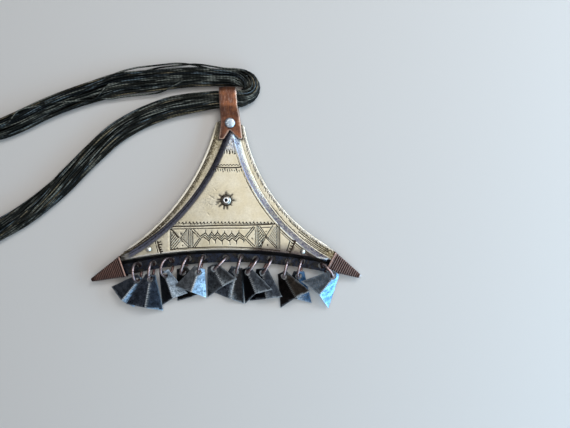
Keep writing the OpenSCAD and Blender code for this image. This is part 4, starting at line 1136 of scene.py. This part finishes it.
def flag(i):
    head, pitch, roll, fold, length, wl, wr, wt, dl, dr = FLAGS[i]
    h, p, r, b = [math.radians(v) for v in (head, pitch, roll, fold)]
    d = np.array([math.sin(h), -math.cos(h), 0.0])
    s = np.array([math.cos(h), math.sin(h), 0.0])
    up = np.array([0, 0, 1.0])
    a = math.cos(p) * d - math.sin(p) * up
    n0 = math.sin(p) * d + math.cos(p) * up
    s2 = math.cos(r) * s - math.sin(r) * n0
    n = math.cos(r) * n0 + math.sin(r) * s
    carry = ring_frame(i)[3]
    top = 2.4
    rng = np.random.default_rng(40 + i)

    def nick(x, y, by=0.12):
        return (x + rng.uniform(-by, by), y + rng.uniform(-by, by))

    poly = [(-wt, top), (-wl, -length - dl), nick(-wl * 0.5, -length - dl * 0.5, 0.08), (0, -length), nick(wr * 0.5, -length - dr * 0.5, 0.08),
            (wr, -length - dr), nick((wr + wt) / 2, (top - length - dr) / 2, 0.10), (wt, top)]
    pts, tris, half, e = flat_sheet(poly, [(0, 0, 1.5)], 0.95, 0.44, 0.13,
                                    [[(0, top - 0.2), (0, 1.7)], [(0, -1.7), (0, -length + 0.2)],
                                     [(0.45, -1.9), (0.45, -length + 0.3)], [(-0.45, -1.9), (-0.45, -length + 0.3)]])
    u, v = pts[:, 0], pts[:, 1]
    soft = 0.30
    run = np.sqrt(u * u + soft * soft)
    bend = u / run
    bead = np.clip(1 - np.abs(u - 0.12) / 0.42, 0, 1) * (v < -1.8)
    beat = 0.5 + 0.5 * np.cos(PI2 * v / 0.88)
    wave = wobble(pts, 60 + i, (11, 6.5), 0.05)
    mid = np.c_[u * math.cos(b), v, -(run - soft) * math.sin(b) + wave]
    nx = bend * math.sin(b)
    nz = np.sqrt(1 - nx * nx)
    normal = np.c_[nx, np.zeros(len(u)), nz]

    def world(q):
        return carry + q[:, :1] * s2 - q[:, 1:2] * a + q[:, 2:3] * n

    upper_side = world(mid + normal * (half + 0.08 * bead * beat)[:, None])
    lower_side = world(mid - normal * half[:, None])
    p3, f = closed(upper_side, tris, lower_side)
    p3[:, 2] = np.maximum(p3[:, 2], 0.02)
    low = v < -length + 0.7 - np.where(u < 0, dl, dr) * np.abs(u) / np.where(u < 0, wl, wr)
    rim = np.clip((np.hypot(u, v) - 1.5) / 0.5, 0.25, 1)
    # painted highlights along the edges, strongest on the lower edges, with some wear
    wear_and_highlight = np.clip(1 - e / np.where(low, 0.32, 0.24), 0, 1) * np.where(low, 0.90, 0.24) * rim
    # beaded painted highlight along the fold, and a painted highlight near the fold's lower end
    bright = bead * np.clip(1.6 * beat - 0.25, 0.05, 1) * CREASE_HIGHLIGHT[i]
    strength, reach = FOLD_HIGHLIGHT[i]
    glow = strength * np.exp(-(u * 0.8 / reach) ** 2 - ((v + length) / (reach * 1.5)) ** 2) * (u > -0.1)
    # flag 7: a painted highlight in a bright stripe beside the fold
    if i == 6:
        glow = np.maximum(glow, 1.60 * np.clip((u + 1.5) / 0.3, 0, 1) * np.clip((0.15 - u) / 0.25, 0, 1) * (v < -3.0))
    piece(f"flag_sheet_{i + 1:02d}", p3, f, BLUED[i], (f"flag_{i + 1:02d}",), {"wear_and_highlight": np.r_[wear_and_highlight, wear_and_highlight * 0.5], "side": np.r_[u, u] * 0.4 + 0.5,
           "bead": np.r_[bright, bright * 0], "glow": np.r_[glow, glow * 0]}, 34.0)


for i in range(12):
    flag(i)


# ---- bail: one strap folded over the cord, its front end cut to a swallow tail -------------------

def strap_path():
    """The strap's middle line from the front tail over the cord to the back tail: y, z and outward normal."""
    raw = [(28.6, 3.95), (40.25, 3.95), (45.45, 6.10), (51.8, 6.10)]
    raw += [(51.8 + 2.8 * math.sin(math.radians(t)), 3.3 + 2.8 * math.cos(math.radians(t))) for t in range(10, 180, 10)]
    raw += [(51.8, 0.50), (43.75, 0.50), (40.55, 1.45), (34.3, 1.45)]
    fine = [raw[0]]
    for p, q in zip(raw[:-1], raw[1:]):
        n = max(1, int(math.dist(p, q) / 0.25))
        fine += [(p[0] + (q[0] - p[0]) * k / n, p[1] + (q[1] - p[1]) * k / n) for k in range(1, n + 1)]
    line = np.array(fine)
    for _ in range(5):
        line[1:-1] = (line[:-2] + 2 * line[1:-1] + line[2:]) / 4
    s = np.concatenate([[0], np.cumsum(np.linalg.norm(np.diff(line, axis=0), axis=1))])
    t = np.gradient(line, axis=0)
    t /= np.linalg.norm(t, axis=1)[:, None]
    return line, s, np.c_[-t[:, 1], t[:, 0]]


def bail():
    line, s, out = strap_path()
    turn_at = int(line[:, 0].argmax())
    front = lambda y: float(np.interp(y, line[:turn_at, 0], s[:turn_at]))
    left = lambda y: np.interp(y, [29.4, 36.6, 45, 56], [-3.7, -2.7, -3.0, -3.6])
    right = lambda y: np.interp(y, [29.6, 37.4, 45, 56], [7.8, 6.9, 5.6, 4.8])
    y_at = lambda q: float(np.interp(q, s, line[:, 0]))
    end = float(s[-1])
    poly = [(-3.55, front(29.45)), (-1.5, front(29.4)), (-1.15, front(29.6)), (1.7, front(33.9)), (5.6, front(29.9)), (6.0, front(29.6)), (7.4, front(29.55)), (7.85, front(30.2))]
    stops = np.linspace(front(31.0), end - 0.02, 46)
    poly += [(float(right(y_at(q))), float(q)) for q in stops]
    poly += [(float(left(y_at(q))), float(q)) for q in stops[::-1]] + [(-3.7, front(29.9))]
    back_hole = end - (37.3 - 34.3)
    pts, tris, half, e = flat_sheet(poly, [(RIVET[0], front(RIVET[1]), 1.25), (RIVET[0], back_hole, 1.25)], 0.75, 0.88, 0.24)
    x, q = pts[:, 0], pts[:, 1]
    y, z = np.interp(q, s, line[:, 0]), np.interp(q, s, line[:, 1])
    ny, nz = np.interp(q, s, out[:, 0]), np.interp(q, s, out[:, 1])
    l = np.hypot(ny, nz)
    ny, nz = ny / l, nz / l
    on_top = np.clip((y - 41.5) / 3, 0, 1) * (q < s[turn_at])
    span = (x - left(y)) / (right(y) - left(y))
    dish = 0.16 * (1 - (2 * span - 1) ** 2) * on_top
    beat = wobble(pts, 77, (6.5, 4.0), 0.10) * np.clip(e / 0.5, 0, 1) * np.clip((y - 41.0) / 2, 0.25, 1)
    crease = np.clip(1 - np.abs(x - (0.5 + 0.03 * (y - 46))) / 0.30, 0, 1) * np.clip((y - 44.8) / 1.5, 0, 1) * (q < s[turn_at]) * np.clip((53.4 - y) / 1.0, 0, 1)
    lift = dish + beat - 0.07 * crease
    top3 = np.c_[x, y + ny * (half + lift), z + nz * (half + lift)]
    low3 = np.c_[x, y - ny * half, z - nz * half]
    p3, f = closed(top3, tris, low3)
    p3[:, 2] = np.maximum(p3[:, 2], 0.02)
    # painted highlights on the strap's edges, full on its right side and the tails, faint on its left
    wear_and_highlight = np.clip(1 - e / 0.36, 0, 1) * np.where((x > 0) | (y < 34.8), 1.0, 0.35)
    near = np.hypot(x - RIVET[0], y - RIVET[1])
    dark = np.clip(1 - np.abs(near - 2.85) / 0.55, 0, 1) * 0.95 * (q < s[turn_at])
    # painted shade, darker on the strap's left side and towards its lower end; it joins the dark along the fold line
    # and the oxide ring round the rivet in the cut mark
    shade = np.clip((43.5 - y) / 5, 0, 1) * 0.30 + np.clip((-0.3 - x) / 2.6, 0, 1) * (0.34 + 0.40 * np.clip((37.0 - y) / 3, 0, 1)) - np.clip((36.5 - y) / 3, 0, 1) * np.clip((x - 2.5) / 2, 0, 1) * 0.3
    shade = np.clip(shade, 0, 1)
    dark = np.maximum(np.maximum(dark, crease * 0.6), shade * (q < s[turn_at]) * (e > 0.25))
    zero = np.zeros(len(pts))
    piece("bail_strap", p3, f, BAIL_COPPER, ("bail",), {"wear_and_highlight": np.r_[wear_and_highlight, zero], "cut": np.r_[dark, zero]}, 34.0)


bail()


# ---- corner caps: tapered copper sleeves with fine pressed ribs ----------------------------------

def cap(name, node, c, ribs, crisp, tinned):
    """Outer skin from the mouth's lip to the tip, then back inside to the mouth."""
    (p0, q0, p1, q1) = [np.array(v) for v in c]
    axis = (p1 + q1 - p0 - q0) / 2
    long = float(np.linalg.norm(axis))
    around = 48
    edge_up = [0.0] * around

    def frame_points(t, grow):
        p, q = p0 + (p1 - p0) * t, q0 + (q1 - q0) * t
        z0, z1 = 1.25 + 0.15 * t, 5.0 - 0.9 * t
        r = max(0.25, 1.0 - 0.25 * t + grow * 0.8)
        m, w, h = (p + q) / 2, float(np.linalg.norm(q - p)) / 2 + grow, (z1 - z0) / 2 + grow
        w, h = max(w, 0.12), max(h, 0.12)
        r = min(r, w, h)
        d = (q - p) / np.linalg.norm(q - p)
        pts = []
        for k in range(around):
            a = PI2 * (k + 0.5) / around
            ca, sa = math.cos(a), math.sin(a)
            edge_up[k] = 0.85 * max(0.0, min(1.0, (-ca - 0.80) / 0.15)) * (sa > -0.3)
            x = math.copysign(w - r, ca) * (1 if abs(ca) > 1e-9 else 0) + r * ca
            z = math.copysign(h - r, sa) * (1 if abs(sa) > 1e-9 else 0) + r * sa
            pts.append((m[0] + d[0] * x, m[1] + d[1] * x, (z0 + z1) / 2 + z))
        return pts

    rows, wear_and_highlight, dark, tin = [], [], [], []
    n = ribs * 8
    for k in range(n + 1):
        t = k / n
        wave = math.cos(PI2 * t * ribs)
        fade = min(1.0, (1 - t) * 5) * (0 if t < 0.035 else 1)
        lip = 0.16 * max(0.0, 1 - abs(t * long - 0.45) / 0.45)
        rows.append(frame_points(t, -0.09 + 0.11 * wave * fade + lip))
        # painted highlights on the rib crests and the mouth's lip; painted shade, with tarnish, in the rib troughs
        wear_and_highlight.append(max(0.55 * max(0.0, wave) * fade * crisp, 0.95 if t * long < 0.75 else 0))
        dark.append(max(0.0, -wave) * 0.85 * fade if t * long > 0.75 else (0.9 if t * long > 0.72 else 0))
        tin.append(tinned if t * long > long - 0.9 else 0.0)
    rows.append(frame_points(1.0, -0.45)); wear_and_highlight.append(0.6); dark.append(0); tin.append(tinned)
    # the inside of the mouth is painted dark: painted shade inside the sleeve
    inner = [frame_points(t, -0.5) for t in (0.93, 0.5, 0.12, 0.0)]
    rows += inner
    wear_and_highlight += [0] * 4
    dark += [0.9] * 4
    tin += [0] * 4
    pts = [p for r in rows for p in r]
    faces = []
    m = len(rows)
    for j in range(m):
        if j == m - 1:
            j2 = 0
        else:
            j2 = j + 1
        for k in range(around):
            k2 = (k + 1) % around
            faces.append((j * around + k, j * around + k2, j2 * around + k2, j2 * around + k))
    a, b, d = np.array(pts[0]), np.array(pts[1]), np.array(pts[around])
    centre = np.mean(rows[0], axis=0)
    if np.dot(np.cross(b - a, d - a), a - centre) < 0:
        faces = [f[::-1] for f in faces]
    # painted highlights, and on the tinned cap also along one upper edge
    painted_highlight = np.repeat(wear_and_highlight, around)
    if tinned:
        painted_highlight = np.maximum(painted_highlight, np.tile(edge_up, len(wear_and_highlight)) * np.repeat([1.0] * (len(wear_and_highlight) - 4) + [0.0] * 4, around))
    piece(name, pts, faces, CAP_COPPER, (node,),
          {"wear_and_highlight": painted_highlight, "cut": np.repeat(dark, around), "tin": np.repeat(tin, around)}, 50.0)


cap("cap_sleeve_left", "cap_left", CAP_L, 19, 0.55, 0.0)
cap("cap_sleeve_right", "cap_right", CAP_R, 16, 1.0, 0.7)


# ---- jump rings: round wire bent to a circle, its two ends butted ---------------------------------

def jump_ring(i, gap_at):
    centre, d, up, _ = ring_frame(i)
    across = np.cross(d, up)
    n, m = 80, 14
    rng = np.random.default_rng(90 + i)
    half_gap = 0.020
    pts, wear_and_highlight = [], []
    for j in range(n + 1):
        a = math.radians(gap_at) + half_gap + (PI2 - 2 * half_gap) * j / n
        outward = math.cos(a) * d + math.sin(a) * up
        drift = 0.05 * math.sin((a - math.radians(gap_at)) / 2 * 2 + 1.0)
        c = centre + RING_R * outward + across * drift
        shrink = 0.90 if j in (0, n) else 1.0
        r = WIRE_R * 0.97 * shrink * (1 + 0.02 * math.sin(5 * a + i))
        for k in range(m):
            b = PI2 * k / m
            pts.append(c + r * (math.cos(b) * outward + math.sin(b) * across))
            # painted highlight on the wire's outer face
            wear_and_highlight.append(max(0.0, math.cos(b)) * 0.55)
    faces = [(j * m + k, (j + 1) * m + k, (j + 1) * m + (k + 1) % m, j * m + (k + 1) % m) for j in range(n) for k in range(m)]
    faces += [tuple(range(m)), tuple(range(n * m + m - 1, n * m - 1, -1))]
    p = np.array(pts)
    p[:, 2] = np.maximum(p[:, 2], 0.02)
    a, b, c = p[faces[0][0]], p[faces[0][1]], p[faces[0][2]]
    if np.dot(np.cross(b - a, c - b), a - (centre + RING_R * (a - centre) / np.linalg.norm(a - centre))) < 0:
        faces = [f[::-1] for f in faces]
    piece(f"jump_ring_{i + 1:02d}", p, faces, RING_COPPER, (f"ring_{i + 1:02d}",), {"wear_and_highlight": wear_and_highlight}, 50.0)


for i, gap_at in enumerate((100, 60, 95, 120, 75, 80, 110, 40, 70, 130, 55, 100)):
    jump_ring(i, gap_at)


# ---- CAD nodes that stay as they are, with their own finish --------------------------------------

def dress(node, mat, angle):
    o = NODES[node]
    o.data.materials.clear()
    o.data.materials.append(mat)
    o.data.polygons.foreach_set("use_smooth", [True] * len(o.data.polygons))
    o.data.set_sharp_from_angle(angle=math.radians(angle))
    return o


dress("back_plate", PLATE, 30)

# ---- centre stud: a low dome with a raised ring round its drilled hole ---------------------------

def lathe(name, node, at_xy, profile, mat, around=64):
    """A turned piece: rows of radius, height, bright, dark about a vertical axis."""
    pts, wear_and_highlight, dark, faces = [], [], [], []
    for j, (r, z, w, k) in enumerate(profile):
        for i in range(around):
            a = PI2 * i / around
            wob = 1 + 0.012 * math.sin(3 * a + j * 0.3)
            pts.append((at_xy[0] + r * wob * math.cos(a), at_xy[1] + r * wob * math.sin(a), z))
            wear_and_highlight.append(w)
            dark.append(k)
    for j in range(len(profile) - 1):
        for i in range(around):
            i2 = (i + 1) % around
            faces.append((j * around + i, (j + 1) * around + i, (j + 1) * around + i2, j * around + i2))
    last = (len(profile) - 1) * around
    faces += [tuple(range(around)), tuple(range(last + around - 1, last - 1, -1))]
    piece(name, pts, faces, mat, (node,), {"wear_and_highlight": wear_and_highlight, "cut": dark}, 40.0)


# the hole's floor and wall are painted dark as painted shade inside the hole; the dark on the dome's slope is oxide
lathe("stud_dome", "stud_centre", STUD,
      [(0.30, 7.80, 0, 1), (0.70, 7.80, 0, 1), (0.72, 8.50, 0, 1), (0.75, 8.64, 0.8, 0), (0.84, 8.72, 1, 0), (1.03, 8.74, 1, 0),
       (1.22, 8.71, 1, 0), (1.38, 8.60, 0.7, 0.1), (1.46, 8.46, 0, 0.75), (1.60, 8.42, 0, 0.55), (1.85, 8.26, 0, 0.35), (2.08, 8.04, 0, 0.45),
       (2.32, 7.78, 0, 0.7), (2.46, 7.58, 0, 0.9), (2.47, 7.50, 0, 1), (1.20, 7.50, 0, 1), (1.20, 1.90, 0, 0), (1.78, 1.90, 0, 0),
       (1.80, 1.50, 0, 0), (1.70, 1.41, 0, 0), (0.40, 1.41, 0, 0)], DOME_SILVER)

lathe("rivet_disc", "bail_rivet", RIVET,
      [(0.02, 5.30, 0, 0), (0.70, 5.30, 0, 0), (1.30, 5.27, 0, 0), (1.80, 5.20, 0, 0), (2.15, 5.06, 0.2, 0), (2.38, 4.84, 0.1, 0.1), (2.50, 4.62, 0, 0.7),
       (2.53, 4.46, 0, 1), (1.20, 4.46, 0, 0), (1.20, 0.94, 0, 0), (2.16, 0.94, 0, 0), (2.18, 0.30, 0, 0), (2.05, 0.06, 0, 0),
       (1.90, 0.02, 0, 0), (0.02, 0.02, 0, 0)], RIVET_FACE)
for n in ("stud_left", "stud_right"):
    dress(n, STUD_SILVER, 35)


# ---- floor and light ---------------------------------------------------------------------------

def plain(name, colour, rough):
    mat = bpy.data.materials.new(name)
    mat.use_nodes = True
    b = mat.node_tree.nodes["Principled BSDF"]
    b.inputs["Base Color"].default_value = (*colour, 1)
    b.inputs["Roughness"].default_value = rough
    b.inputs["Specular IOR Level"].default_value = 0.15
    return mat


mesh = bpy.data.meshes.new("floor")
mesh.from_pydata([(-3, -3, -0.00002), (3, -3, -0.00002), (3, 3, -0.00002), (-3, 3, -0.00002)], [], [(0, 1, 2, 3)])
mesh.materials.append(plain("floor", (0.64, 0.62, 0.60), 0.9))
floor = bpy.data.objects.new("floor", mesh)
scene.collection.objects.link(floor)
floor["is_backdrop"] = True


def softbox(name, place, aim, size, watts, colour):
    lamp = bpy.data.lights.new(name, "AREA")
    lamp.shape = "RECTANGLE"
    lamp.size, lamp.size_y = size
    lamp.energy = watts
    lamp.color = colour
    o = bpy.data.objects.new(name, lamp)
    o.location = place
    o.rotation_euler = (Vector(aim) - Vector(place)).to_track_quat("-Z", "Y").to_euler()
    scene.collection.objects.link(o)
    return o


softbox("overhead", (0.17, 0.12, 0.78), (0.02, 0.0, 0.0), (1.15, 0.95), 4.1, (1.0, 0.965, 0.90))
softbox("key", (0.42, 0.46, 0.62), (0.0, 0.0, 0.0), (0.30, 0.30), 2.3, (0.92, 0.96, 1.0))
softbox("window_right", (0.60, 0.08, 0.17), (0.0, -0.01, 0.02), (0.50, 0.28), 3.4, (0.55, 0.78, 1.0))
softbox("window_near", (0.44, -0.42, 0.15), (0.0, -0.02, 0.02), (0.56, 0.26), 2.6, (0.45, 0.74, 1.0))
softbox("front", (0.0, -0.62, 0.55), (0.0, 0.0, 0.0), (0.70, 0.35), 0.6, (1.0, 0.95, 0.90))

world = bpy.data.worlds.new("studio")
scene.world = world
world.use_nodes = True
world.node_tree.nodes["Background"].inputs["Color"].default_value = (0.55, 0.62, 0.80, 1)
world.node_tree.nodes["Background"].inputs["Strength"].default_value = 0.10
scene.view_settings.view_transform = "Standard"

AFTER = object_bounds()


def as_lists(b):
    if isinstance(b, dict):
        return {k: as_lists(v) for k, v in b.items()}
    if hasattr(b, "__len__") and not isinstance(b, str):
        return [as_lists(v) for v in b]
    return b if isinstance(b, (str, bool)) or b is None else float(b)


{"cad": as_lists(BEFORE), "visual": as_lists(AFTER)}
